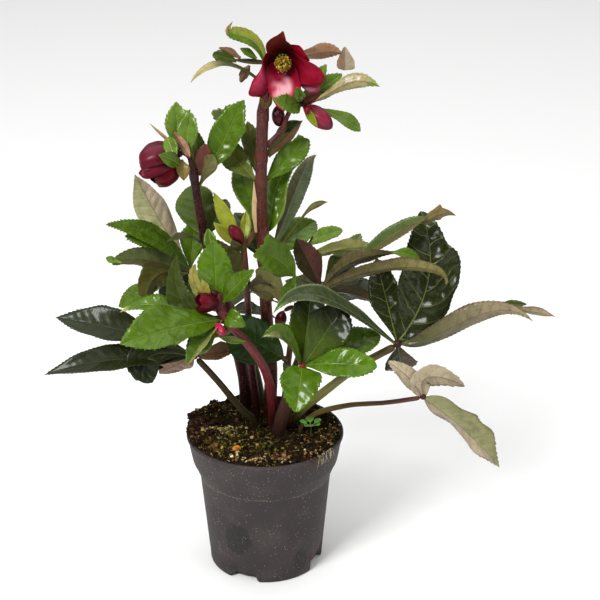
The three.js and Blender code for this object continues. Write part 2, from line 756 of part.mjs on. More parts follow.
function rootOf(fan, tip) {
  const hub = vec(fan.hub);
  const out = vec(tip).sub(hub);
  if (!fan.ring) return hub.addScaledVector(out.normalize(), fan.knob * ROOT_IN_KNOB).toArray();
  const axis = vec(fan.axis).normalize();
  out.addScaledVector(axis, -out.dot(axis)).normalize();
  return hub.addScaledVector(out, fan.ring + ROOT_IN_RING).toArray();
}

function fanParts(fan, grow) {
  const grown = (root, [tip, width, face, options]) => blade(root, tip, width, face, options, grow);
  const parts = fan.blades.map((leaf) => grown(rootOf(fan, leaf[0]), leaf));
  for (const { root, blades } of fan.stalked ?? []) {
    parts.push(tube([fan.hub, root], LEAFLET_STALK, grow, THIN_SIDES));
    parts.push(...blades.map((leaf) => grown(root, leaf)));
  }
  if (fan.ring) {
    const axis = vec(fan.axis).normalize();
    const end = (share) => vec(fan.hub).addScaledVector(axis, share).toArray();
    const walls = [fan.ring + CLASP.lower, fan.ring + CLASP.upper];
    parts.push(tube([end(-CLASP.reach), end(CLASP.reach)], walls, grow, RING_SIDES));
  } else {
    parts.push(ball(fan.hub, fan.knob, grow));
  }
  return parts;
}

// ---------------------------------------------------------------- blooms and buds

// A bloom hangs from the end of its stalk. Each sepal runs from the receptacle along the bloom's axis and
// outwards; turns are degrees round the axis, seen from the open side. A lap sets a sepal inside its
// neighbours, because the five overlap like tiles.
const RECEPTACLE = 2.8;
const SEPAL_ROOT = 1.8; // distance from the axis at which a sepal starts
const LAP_BULGE = 1.3; // an inner sepal bulges this much less for each millimetre of lap
const ROUND_TURNS = [0, 72, 144, 216, 288];
const BLOOMS = {
  bloom_top: {
    colour: "sepal",
    seat: [16, 6, 427],
    axis: [0.03, -0.86, -0.3],
    sepals: [
      { turn: 94, deep: 18, out: 33, width: 24, bulge: [10, 12] },
      { turn: 36, deep: 17, out: 30, width: 22, bulge: [10, 10] },
      { turn: -24, deep: 22, out: 33, width: 32, bulge: [11, 12] },
      { turn: -88, deep: 20, out: 32, width: 30, bulge: [10, 12] },
      { turn: 212, deep: 22, out: 30, width: 25, bulge: [11, 12] },
    ],
    laps: [1.3, 0, 1.3, 0, 1.3],
    strips: 4,
    stations: 5,
    cup: 0.5,
    full: 0.7,
    widest: 0.64,
  },
  bloom_left: {
    colour: "bud",
    seat: [-62, -14, 358],
    axis: [-0.8, -0.38, -0.42],
    sepals: ROUND_TURNS.map((turn) => ({ turn: turn + 20, deep: 32, out: 8, width: 26, bulge: [14, 18] })),
    laps: [0, 1.4, 0, 1.4, 2.8],
    strips: 2,
    stations: 5,
    cup: 0.65,
    full: 0.8,
    widest: 0.58,
  },
  bloom_front: {
    colour: "bud",
    seat: [-36, -49, 259],
    axis: [-0.9, -0.45, -0.12],
    sepals: ROUND_TURNS.map((turn) => ({ turn, deep: 20, out: 5, width: 14, bulge: [9, 10] })),
    laps: [0, 1.3, 0, 1.3, 2.6],
    strips: 2,
    stations: 4,
    cup: 0.65,
    full: 0.8,
    widest: 0.58,
  },
};

// Two vectors square to the axis: the first points as nearly to +X as it can, the second upwards.
function bloomFrame(axis) {
  const forward = vec(axis).normalize();
  const upward = new THREE.Vector3(0, 0, 1);
  upward.addScaledVector(forward, -upward.dot(forward)).normalize();
  const sideways = forward.clone().cross(upward);
  return { forward, upward, sideways };
}

function bloomParts(bloom, grow) {
  const { forward, upward, sideways } = bloomFrame(bloom.axis);
  const seat = vec(bloom.seat);
  const parts = [ball(bloom.seat, RECEPTACLE, grow)];
  for (const [i, { turn, deep, out, width, bulge }] of bloom.sepals.entries()) {
    const angle = THREE.MathUtils.degToRad(turn);
    const radial = sideways.clone().multiplyScalar(-Math.cos(angle)).addScaledVector(upward, Math.sin(angle));
    const root = seat.clone().addScaledVector(radial, SEPAL_ROOT);
    const tip = seat.clone().addScaledVector(forward, deep).addScaledVector(radial, out - bloom.laps[i]);
    const outward = radial.clone().addScaledVector(forward, -out / deep);
    const options = {
      arch: bulge.map((rise) => rise - bloom.laps[i] * LAP_BULGE),
      fold: -bloom.cup,
      round: bloom.strips / 2,
      widest: bloom.widest,
      full: bloom.full,
      teeth: 0,
      wave: 0.03,
      neck: 1.4,
      point: 1.2,
      strips: bloom.strips,
      stations: bloom.stations,
      thick: SEPAL,
    };
    parts.push(blade(root.toArray(), tip.toArray(), width, outward.toArray(), options, grow));
  }
  return parts;
}

const STAMENS = {
  count: 11,
  length: 13,
  domeForward: 4.6,
  domeRadius: 3.4,
  spread: 0.62,
  stations: [0.15, 0.7, 0.85, 1], // where along a stamen its anther begins, is fattest and ends
  radii: [0.5, 0.5, 1.2, 0.7],
};

// The brush of stamens in an open bloom: thin stalks with a fat anther, fanned out of a small dome.
function stamenParts(bloom, grow) {
  const { count, length } = STAMENS;
  const { forward, upward, sideways } = bloomFrame(bloom.axis);
  const dome = vec(bloom.seat).addScaledVector(forward, STAMENS.domeForward);
  const parts = [ball(dome.toArray(), STAMENS.domeRadius, grow)];
  const golden = Math.PI * (3 - Math.sqrt(5));
  for (let i = 0; i < count; i++) {
    const spread = STAMENS.spread * Math.sqrt((i + 0.5) / count);
    const turn = i * golden;
    const direction = forward
      .clone()
      .addScaledVector(sideways, Math.cos(turn) * spread)
      .addScaledVector(upward, Math.sin(turn) * spread)
      .normalize();
    const reach = length * (1 - spread / 4);
    const at = (share) => dome.clone().addScaledVector(direction, share * reach).toArray();
    parts.push(tube(STAMENS.stations.map(at), STAMENS.radii, grow, 3));
  }
  return parts;
}

// A closed bud: an egg with five soft ribs, where the sepals lap over each other.
const BUD_RINGS = 5;
const BUD_SIDES = 10;
const BUD_RIB = 0.07; // how far a rib stands out, as a share of the radius
const BUDS = {
  bud_right: { seat: [33, -3, 392], tip: [55, -14, 377], radius: 6.6 },
  bud_under_bloom: { seat: [12, 7, 390], tip: [13, 5, 374], radius: 5 },
  bud_short: { seat: [-15.5, -9, 285], tip: [-25, -13, 301], radius: 5.2 },
  bud_small: { seat: [-36, -55, 236], tip: [-43, -59, 232], radius: 3.6 },
  bud_hooked: { seat: [15.5, -9, 228], tip: [12, -10, 214], radius: 4.6 },
};

function budSolid({ seat, tip, radius }, grow) {
  const length = vec(tip).sub(vec(seat)).length() + 2 * grow;
  const outline = [];
  for (let i = 0; i <= BUD_RINGS; i++) {
    const u = i / BUD_RINGS;
    const swell = Math.pow(Math.sin(Math.PI * Math.pow(u, 0.8)), 0.8);
    const pole = i === 0 || i === BUD_RINGS;
    outline.push(new THREE.Vector2(pole ? 0 : Math.max(1, radius * swell) + grow, u * length - grow));
  }
  const geometry = new THREE.LatheGeometry(outline, BUD_SIDES);
  const place = geometry.attributes.position;
  for (let i = 0; i < place.count; i++) {
    const turn = Math.atan2(place.getZ(i), place.getX(i));
    const rib = 1 + BUD_RIB * Math.cos(5 * turn);
    place.setXYZ(i, place.getX(i) * rib, place.getY(i), place.getZ(i) * rib);
  }
  const direction = vec(tip).sub(vec(seat)).normalize();
  geometry.applyQuaternion(new THREE.Quaternion().setFromUnitVectors(new THREE.Vector3(0, 1, 0), direction));
  geometry.translate(...seat);
  return solidOf(geometry);
}

// ---------------------------------------------------------------- the seedling beside the crown

const SEEDLING = {
  foot: [38, -9, 119],
  rootDepth: 6,
  height: 7,
  stalk: 0.8,
  crown: 1.9,
  leaves: 5,
  turn: 0.5,
  spread: 8,
  lift: 3, // how far the leaf tips stand over the crown
  leafWidth: 5.4,
  leaf: { teeth: 0, full: 0.55, widest: 0.66, neck: 0.5, point: 1, stations: 3, arch: [1, 1], wave: 0 },
};

function seedlingParts(grow) {
  const { foot, spread, leaves } = SEEDLING;
  const over = (x, y, z) => [foot[0] + x, foot[1] + y, foot[2] + z];
  const crown = over(0, 0, SEEDLING.height);
  const stalk = [over(0, 0, -SEEDLING.rootDepth), foot, crown];
  const radii = [SEEDLING.stalk, SEEDLING.stalk];
  const parts = [tube(stalk, radii, grow, THIN_SIDES), ball(crown, SEEDLING.crown, grow)];
  for (let i = 0; i < leaves; i++) {
    const turn = (2 * Math.PI * i) / leaves + SEEDLING.turn;
    const tip = over(Math.cos(turn) * spread, Math.sin(turn) * spread, SEEDLING.height + SEEDLING.lift);
    const root = vec(crown).lerp(vec(tip), 0.16).toArray();
    parts.push(blade(root, tip, SEEDLING.leafWidth, [0, 0, 1], SEEDLING.leaf, grow));
  }
  return parts;
}

// ---------------------------------------------------------------- assembly

// Every piece in the order in which it takes its place: a later piece is trimmed clear of the earlier ones.
const recipes = [
  ...Object.entries(STEMS).map(([name, stem]) => [name, stem.colour, (grow) => stemParts(stem, grow)]),
  ...Object.entries(BLOOMS).map(([name, bloom]) => [name, bloom.colour, (grow) => bloomParts(bloom, grow)]),
  ["stamens_top", "stamen", (grow) => stamenParts(BLOOMS.bloom_top, grow)],
  ...Object.entries(BUDS).map(([name, bud]) => [name, "bud", (grow) => [budSolid(bud, grow)]]),
  ...Object.entries(FANS).map(([name, fan]) => [name, fan.colour, (grow) => fanParts(fan, grow)]),
  ["seedling", "seedling", seedlingParts],
];

// The largest body of a solid: trimming can leave loose scraps, which are dropped, and slivers, which are
// smoothed away within a small tolerance.
function largest(solid) {
  const body = solid.decompose().reduce((best, other) => (other.volume() > best.volume() ? other : best));
  return body.simplify(SLIVER);
}

function meets(a, b) {
  const one = a.boundingBox();
  const two = b.boundingBox();
  return [0, 1, 2].every((k) => one.min[k] < two.max[k] && two.min[k] < one.max[k]);
}

const hellebore = new THREE.Group();
hellebore.name = "hellebore";

function place(name, colour, solid) {
  const [shade, roughness] = COLOURS[colour];
  const material = new THREE.MeshStandardMaterial({ color: shade, roughness, metalness: 0 });
  const mesh = new THREE.Mesh(geometryOf(solid), material);
  mesh.name = name;
  hellebore.add(mesh);
}

const halos = [];
for (const [name, colour, parts] of recipes) {
  const whole = joined(parts(0));
  const near = halos.filter((halo) => meets(halo, whole));
  const trimmed = near.length ? whole.subtract(joined(near)) : whole;
  place(name, colour, largest(trimmed));
  halos.push(joined(parts(CLEARANCE)));
}
place("pot", "pot", largest(potSolid()));
const peat = soilSolid();
const planted = halos.filter((halo) => halo.boundingBox().min[2] < peat.boundingBox().max[2]);
place("soil", "soil", largest(peat.subtract(joined(planted))));

export default hellebore;
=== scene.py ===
"""A young hellebore in flower in its nursery pot.

The plant is built from a few kinds of surface, each worked out on a grid of points: a blade for leaves and
bracts, a sheet through rows of curves for sepals, a tube for stems, stalks, stamens and fibres, an egg for
buds, and a turned shell for the pot and the soil. Lengths in the tables are millimetres, colours are written
as RRGGBB, +Z is up and the front of the plant faces -Y.
"""

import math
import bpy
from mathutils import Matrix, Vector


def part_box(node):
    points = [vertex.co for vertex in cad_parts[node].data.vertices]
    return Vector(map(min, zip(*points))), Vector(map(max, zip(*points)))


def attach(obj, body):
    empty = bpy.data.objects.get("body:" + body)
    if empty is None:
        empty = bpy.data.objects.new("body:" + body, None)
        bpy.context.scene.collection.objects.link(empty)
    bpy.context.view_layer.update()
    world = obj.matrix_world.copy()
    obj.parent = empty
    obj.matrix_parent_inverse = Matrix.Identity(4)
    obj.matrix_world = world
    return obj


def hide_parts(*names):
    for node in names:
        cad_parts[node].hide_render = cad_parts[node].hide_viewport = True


bl_info = {
    "name": "Potted hellebore",
    "version": (1, 0, 0),
    "blender": (4, 5, 0),
    "location": "3D View > Sidebar > Hellebore",
    "description": "Builds a flowering hellebore in its nursery pot, piece by piece",
    "category": "Add Mesh",
}

from functools import partialmethod

import bpy
import numpy as np

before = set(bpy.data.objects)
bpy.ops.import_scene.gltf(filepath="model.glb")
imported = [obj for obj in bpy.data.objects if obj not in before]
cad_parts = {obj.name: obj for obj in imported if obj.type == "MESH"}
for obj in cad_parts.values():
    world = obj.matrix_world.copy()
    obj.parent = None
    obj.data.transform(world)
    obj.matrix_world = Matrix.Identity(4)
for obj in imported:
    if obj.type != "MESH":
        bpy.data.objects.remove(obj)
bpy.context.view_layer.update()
POT_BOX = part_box("pot")

MM = 0.001

# ---- vectors, noise and colours


def vec(*values):
    return np.array(values, dtype=float)


def unit(vectors):
    return vectors / np.linalg.norm(vectors, axis=-1, keepdims=True)


def dot(a, b):
    return np.sum(a * b, axis=-1, keepdims=True)


def ring_angles(sides):
    return np.linspace(0, math.tau, sides, endpoint=False)


def polar(radius, turn, height):
    """Points by their distance from the Z axis, their angle round it and their height."""
    return stacked(radius * np.cos(turn), radius * np.sin(turn), height)


def mix(a, b, t):
    return a + (b - a) * t


def stacked(*values):
    """Grids and numbers brought to one shape and laid side by side along a new last axis."""
    return np.stack(np.broadcast_arrays(*values), -1)


def ease(low, high, x):
    """0 under low, 1 over high and 3t^2 - 2t^3 between them."""
    t = np.clip((x - low) / (high - low), 0, 1)
    return t * t * (3 - 2 * t)


SINE_SCALE = 43758.5453
LATTICE_STRIDES = (127.1, 311.7, 74.7)
SEED_STRIDE = 53.3


def scatter(numbers):
    """A number in 0..1 for each number, which looks random: the fraction of a large multiple of its sine."""
    return np.mod(np.sin(numbers) * SINE_SCALE, 1.0)


def noise(points, size, seed=0):
    """Smooth noise in -1..1: random values on a lattice of the given size, blended with 3t^2 - 2t^3."""
    scaled = points / size
    cell = np.floor(scaled)
    t = scaled - cell
    t = t * t * (3 - 2 * t)
    total = 0
    for corner in np.ndindex(2, 2, 2):
        at = cell + corner
        x, y, z = (at[..., k] * LATTICE_STRIDES[k] for k in range(3))
        value = scatter(x + y + z + seed * SEED_STRIDE)
        total = total + value * np.prod(np.where(corner, t, 1 - t), axis=-1)
    return total * 2 - 1


def paint(code):
    """A colour written as RRGGBB, as three linear values by the sRGB curve."""
    screen = vec(*(int(code[i : i + 2], 16) / 255 for i in (0, 2, 4)))
    return np.where(screen <= 0.04045, screen / 12.92, ((screen + 0.055) / 1.055) ** 2.4)


# ---- driving dimensions


def length_setting(name, description, default):
    return bpy.props.FloatProperty(name=name, description=description, default=default, unit="LENGTH")


def colour_setting(name, description, default):
    return bpy.props.FloatVectorProperty(
        name=name, description=description, default=default, subtype="COLOR", size=3
    )


def count_setting(name, description, default):
    return bpy.props.IntProperty(name=name, description=description, default=default)


class PotSettings(bpy.types.PropertyGroup):
    height: length_setting("Height", "Height of the pot over its lip", POT_BOX[1][2])
    lip_radius: length_setting("Lip radius", "Outer radius of the lip", POT_BOX[1][0])
    recess_height: length_setting("Recess height", "Height of the slanted drainage recesses", 0.021)
    plastic: colour_setting("Plastic", "Colour of the moulded plastic", paint("383232"))


class SoilSettings(bpy.types.PropertyGroup):
    crumbs: count_setting("Crumbs", "Loose crumbs of peat on top", 2600)
    moss: count_setting("Moss", "Tiny moss leaves on top", 2600)
    fibres: count_setting("Fibres", "Loose peat fibres on top", 70)
    roughness: length_setting("Lumpiness", "Height of the soil's lumps", 0.0022)


class FoliageSettings(bpy.types.PropertyGroup):
    tooth_pitch: length_setting("Tooth pitch", "Distance between two teeth of a leaf margin", 0.0031)
    tooth_depth: length_setting("Tooth depth", "How far a tooth stands out", 0.0011)
    thickness: length_setting("Blade thickness", "Thickness of a leaf blade", 0.0005)
    pucker: length_setting("Pucker", "How far a leaf bulges between its side veins", 0.00034)


class BloomSettings(bpy.types.PropertyGroup):
    stamens: count_setting("Stamens", "Stamens in the open bloom", 210)
    stamen_length: length_setting("Stamen length", "Length of the longest stamen", 0.0128)
    nectaries: count_setting("Nectaries", "Nectar cups round the stamens", 12)


class StageSettings(bpy.types.PropertyGroup):
    floor: colour_setting("Floor", "Colour of the floor", (0.9, 0.9, 0.9))
    brightness: bpy.props.FloatProperty(name="Brightness", description="Strength of the studio light", default=1.0)


# ---- meshes


class Sheet:
    """One mesh that is put together from patches of points, faces and the values its material reads.

    place is distance along the piece, distance across it and share of its length; look is distance from the
    middle to the margin, 1 on an upper side and 0 on an underside, and roughness.
    """

    LAYERS = {"place": 3, "look": 3, "tint": 4, "vein": 4}

    def __init__(self):
        self.points = []
        self.quads = []
        self.triangles = []
        self.layers = {name: [] for name in self.LAYERS}
        self.count = 0

    def add(self, points, quads=(), triangles=(), **layers):
        points = np.asarray(points, dtype=float).reshape(-1, 3)
        for faces, bucket, corners in ((quads, self.quads, 4), (triangles, self.triangles, 3)):
            if len(faces):
                bucket.append(np.asarray(faces).reshape(-1, corners) + self.count)
        for name, width in self.LAYERS.items():
            values = np.zeros((len(points), width))
            if name in layers:
                given = np.asarray(layers[name], dtype=float)
                values[:, : given.shape[-1]] = given.reshape(-1, given.shape[-1])
            self.layers[name].append(values)
        self.points.append(points)
        self.count += len(points)

    def finish(self, name, material, smooth=True):
        """The mesh object: corners of quads first, then those of triangles."""
        quads = np.concatenate([*self.quads, np.zeros((0, 4), int)])
        triangles = np.concatenate([*self.triangles, np.zeros((0, 3), int)])
        corners = np.concatenate([quads.ravel(), triangles.ravel()]).astype(np.int32)
        sizes = np.concatenate([np.full(len(quads), 4), np.full(len(triangles), 3)])
        starts = np.concatenate([[0], np.cumsum(sizes)[:-1]]).astype(np.int32)
        mesh = bpy.data.meshes.new(name)
        mesh.vertices.add(self.count)
        mesh.vertices.foreach_set("co", np.concatenate(self.points).ravel() * MM)
        mesh.loops.add(len(corners))
        mesh.loops.foreach_set("vertex_index", corners)
        mesh.polygons.add(len(sizes))
        mesh.polygons.foreach_set("loop_start", starts)
        mesh.polygons.foreach_set("use_smooth", np.full(len(sizes), smooth))
        mesh.update(calc_edges=True)
        for layer, width in self.LAYERS.items():
            kind, field = ("FLOAT_VECTOR", "vector") if width == 3 else ("FLOAT_COLOR", "color")
            attribute = mesh.attributes.new(layer, kind, "POINT")
            attribute.data.foreach_set(field, np.concatenate(self.layers[layer]).astype(np.float32).ravel())
        if mesh.validate():
            raise RuntimeError(f"the mesh of {name} had faults")
        mesh.materials.append(material)
        return linked(name, mesh)


def linked(name, data):
    """A new object in the scene."""
    made = bpy.data.objects.new(name, data)
    bpy.context.scene.collection.objects.link(made)
    return made


def stand_for(piece, node, slot):
    """The piece takes a frame node's place; slot is not used."""
    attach(piece, "root")
    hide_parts(node)


def web(rows, columns, around=False, flip=False):
    """Quads of a grid of points; around joins the last column to the first."""
    row, column = np.meshgrid(np.arange(rows - 1) * columns, np.arange(columns - (not around)), indexing="ij")
    after = (column + 1) % columns
    quads = stacked(row + column, row + after, row + columns + after, row + columns + column).reshape(-1, 4)
    return quads[:, ::-1] if flip else quads


def barrel(rows, sides):
    """Quads of a grid whose rows are rings, and triangles that close its ends on two poles that follow it."""
    k = np.arange(sides)
    after, last, pole = (k + 1) % sides, (rows - 1) * sides, rows * sides
    caps = np.vstack([stacked(after, k, pole), stacked(last + k, last + after, pole + 1)])
    return web(rows, sides, around=True), caps


# ---- tubes


def smooth_path(points, step):
    """Points a step apart along the centripetal Catmull-Rom curve through the given ones.

    Between two points it blends four straight lines whose knots are the square roots of the distances.
    """
    given = np.asarray(points, dtype=float)
    padded = np.vstack([2 * given[0] - given[1], given, 2 * given[-1] - given[-2]])
    pieces = []
    for a, b, c, d in zip(padded, padded[1:], padded[2:], padded[3:]):
        knots = np.cumsum([0, *(max(np.linalg.norm(q - p), 1e-4) ** 0.5 for p, q in ((a, b), (b, c), (c, d)))])
        t = np.linspace(knots[1], knots[2], 24)[:, None]

        def line(p, q, i, j):
            return ((knots[j] - t) * p + (t - knots[i]) * q) / (knots[j] - knots[i])

        first, second, third = line(a, b, 0, 1), line(b, c, 1, 2), line(c, d, 2, 3)
        pieces.append(line(line(first, second, 0, 2), line(second, third, 1, 3), 1, 2))
    fine = np.vstack([pieces[0][:1], *(piece[1:] for piece in pieces)])
    run = np.concatenate([[0], np.cumsum(np.linalg.norm(np.diff(fine, axis=0), axis=1))])
    share = np.linspace(0, 1, max(3, int(run[-1] / step) + 1))
    return np.stack([np.interp(share * run[-1], run, fine[:, k]) for k in range(3)], -1), share, run[-1]


def tube(sheet, points, radii, codes, sides=20, step=2.2, ribs=0.0, groove=0.0, lumps=0.0, rough=0.4, end=1.0):
    """A closed tube: centre(s) + r(s, t) (N cos t + B sin t), N and B square to the path.

    r runs through the given radii along the path, times 1 + ribs cos 5t - groove in a narrow band at the top,
    plus lumps times a noise. Colours change evenly along it, by the codes. The last rings close in like a
    dome where end is under 1.
    """
    centre, share, length = smooth_path(points, step)
    forward = unit(np.gradient(centre, axis=0))
    axes = np.eye(3)
    lead = axes[np.argmin(np.abs(forward @ axes).max(axis=0))]
    normal = unit(lead - forward * dot(forward, lead))
    side = np.cross(forward, normal)
    turn = ring_angles(sides)
    radius = np.interp(share * (len(radii) - 1), np.arange(len(radii)), radii)[:, None]
    if end < 1:
        radius = radius * np.sqrt(np.clip(1 - ((share[:, None] - end) / (1 - end)).clip(0) ** 2, 0.02, 1))
    shape = 1 + ribs * np.cos(5 * turn) - groove * np.exp(-(((turn - math.pi / 2) / 0.5) ** 2))
    ring = np.cos(turn)[None, :, None] * normal[:, None] + np.sin(turn)[None, :, None] * side[:, None]
    grid = centre[:, None] + (radius * shape)[..., None] * ring
    grid = grid + ring * (lumps * noise(grid, 2.6))[..., None]
    place = stacked(share[:, None] * length, radius * turn, share[:, None])
    look = stacked(np.zeros(grid.shape[:2]), 1.0, rough)
    colours = np.array([paint(code) for code in codes])
    tint = np.stack([np.interp(share, np.linspace(0, 1, len(codes)), colours[:, k]) for k in range(3)], -1)
    tints = np.broadcast_to(tint[:, None], grid.shape)

    def with_poles(values):
        return np.vstack([values.reshape(-1, values.shape[-1]), values[0].mean(0), values[-1].mean(0)])

    layers = {"place": with_poles(place), "look": with_poles(look), "tint": with_poles(tints)}
    sheet.add(with_poles(grid), *barrel(len(centre), sides), **layers)


def ball(sheet, middle, reach, radius, codes, sides, step, **form):
    """A ball as a tube: r = R sqrt(1 - t^2) at share t from -1 to 1 of the reach, and never under 0.14 R."""
    radii = [radius * math.sqrt(max(0.02, 1 - (k / 5 - 1) ** 2)) for k in range(11)]
    tube(sheet, (middle - reach, middle + reach), radii, codes, sides, step, **form)


# ---- blades

# Which way a blade's upper side looks.
FACES = {
    "front": (0, -1, 0.15),
    "slope": (0, -0.7, 0.7),
    "top": (0, -0.25, 1),
    "away_top": (0, 0.8, 0.6),
    "up": (0, 0, 1),
}

# Colours of the upper side, the underside and the veins on each, how strongly the veins show on each side, and
# roughness.
LOOKS = {
    "fresh": ("50700e 7c8c36 8ca43e 66742c", 0.5, 0.5, 0.22),
    "bright": ("4e6a12 74803a 8a9848 58622a", 0.5, 0.5, 0.24),
    "green": ("3c4812 5c5e30 6c7838 484e24", 0.5, 0.5, 0.34),
    "dark": ("262c10 62553a 90985c 443a28", 0.6, 0.55, 0.2),
    "deep": ("22280f 6c5a40 6c7448 4c3c2c", 0.4, 0.5, 0.36),
    "grey": ("525638 78785c 707650 a0a084", 0.45, 0.7, 0.38),
    "olive": ("40441a 5a5826 6c6e34 38301a", 0.45, 0.7, 0.42),
    "sage": ("505828 6c683e 767e48 484028", 0.45, 0.7, 0.5),
    "beige": ("6c7238 a49a70 808258 6a4c34", 0.45, 0.7, 0.5),
    "pink": ("4c502c 92866a 6e7048 5c4a3a", 0.4, 0.7, 0.5),
    "maroon": ("50561e 625c3a 6c7040 3a221c", 0.45, 0.9, 0.42),
    "wine": ("44402a 58482a 5c5232 2c1614", 0.45, 0.85, 0.4),
    "pale": ("708a34 a4a464 a4b068 6c7038", 0.5, 0.6, 0.38),
    "lime": ("9aa038 9ca04c b8c068 7c8434", 0.5, 0.45, 0.42),
    "straw": ("80703a 967458 6c5438 62463a", 0.45, 0.55, 0.5),
    "husk": ("584826 745c3c 483424 482c24", 0.45, 0.6, 0.5),
    "blotch": ("888438 949048 7c5a34 7c4434", 0.55, 0.65, 0.45),
    "silver": ("5c6c3c 746c50 8a9468 544c38", 0.4, 0.6, 0.28),
    "moss": ("545e22 6c6c38 8c8a4c 484e24", 0.6, 0.5, 0.34),
    "rose": ("4c502c 7e5e44 6e7048 5c4030", 0.4, 0.7, 0.5),
    "shell": ("6c7238 a89c84 808258 6a5040", 0.45, 0.7, 0.5),
    "dusk": ("46580e 74803a 7c8c44 58622a", 0.45, 0.5, 0.6),
    "sheen": ("424c2e 6c5a40 848c70 4c3c2c", 0.5, 0.5, 0.26),
    "bronze": ("34301c 40381e 504628 241610", 0.45, 0.85, 0.4),
    "shade": ("12180c 1c1810 20260f 1c1810", 0.2, 0.2, 0.9),
    "soft": ("5e7828 8a9250 98a85a 70783c", 0.55, 0.5, 0.34),
    "pith": ("c4a880 b09468 dcc8a0 a08458", 0.3, 0.3, 0.5),
    "seedling": ("6c9c48 6c9a46 80ac5a 648c44", 0.3, 0.3, 0.5),
}


def skin(sheet, top, under, **layers):
    """A closed sheet from two grids of points, one for each side, joined round their rims."""
    rows, columns = top.shape[:2]
    n = rows * columns
    index = np.arange(n).reshape(rows, columns)
    rims = []
    for near, kept in ((index[:, 0], True), (index[:, -1], False), (index[0], False), (index[-1], True)):
        strip = np.stack([near[:-1], near[1:], near[1:] + n, near[:-1] + n], -1)
        rims.append(strip if kept else strip[:, ::-1])
    faces = np.vstack([web(rows, columns), web(rows, columns, flip=True) + n, *rims])
    sheet.add(np.stack([top, under]), faces, **layers)


def leaf(tip, width, face, look, arch=(6, 6), **options):
    return {"tip": tip, "width": width, "face": face, "look": look, "arch": arch, **options}


def fan(slot, hub, colour, blades, **seat):
    return {"slot": slot, "hub": hub, "colour": colour, "blades": blades, **seat}


BEND = (0.33, 0.7)
VEIN_GAP = 8.0


def outline(u, widest, full):
    """Half width of a blade along it, 0..1: sin(pi u^e)^full, where e puts the widest place at widest."""
    eased = u ** (math.log(0.5) / math.log(widest))
    return np.clip(np.sin(math.pi * eased), 0, None) ** full


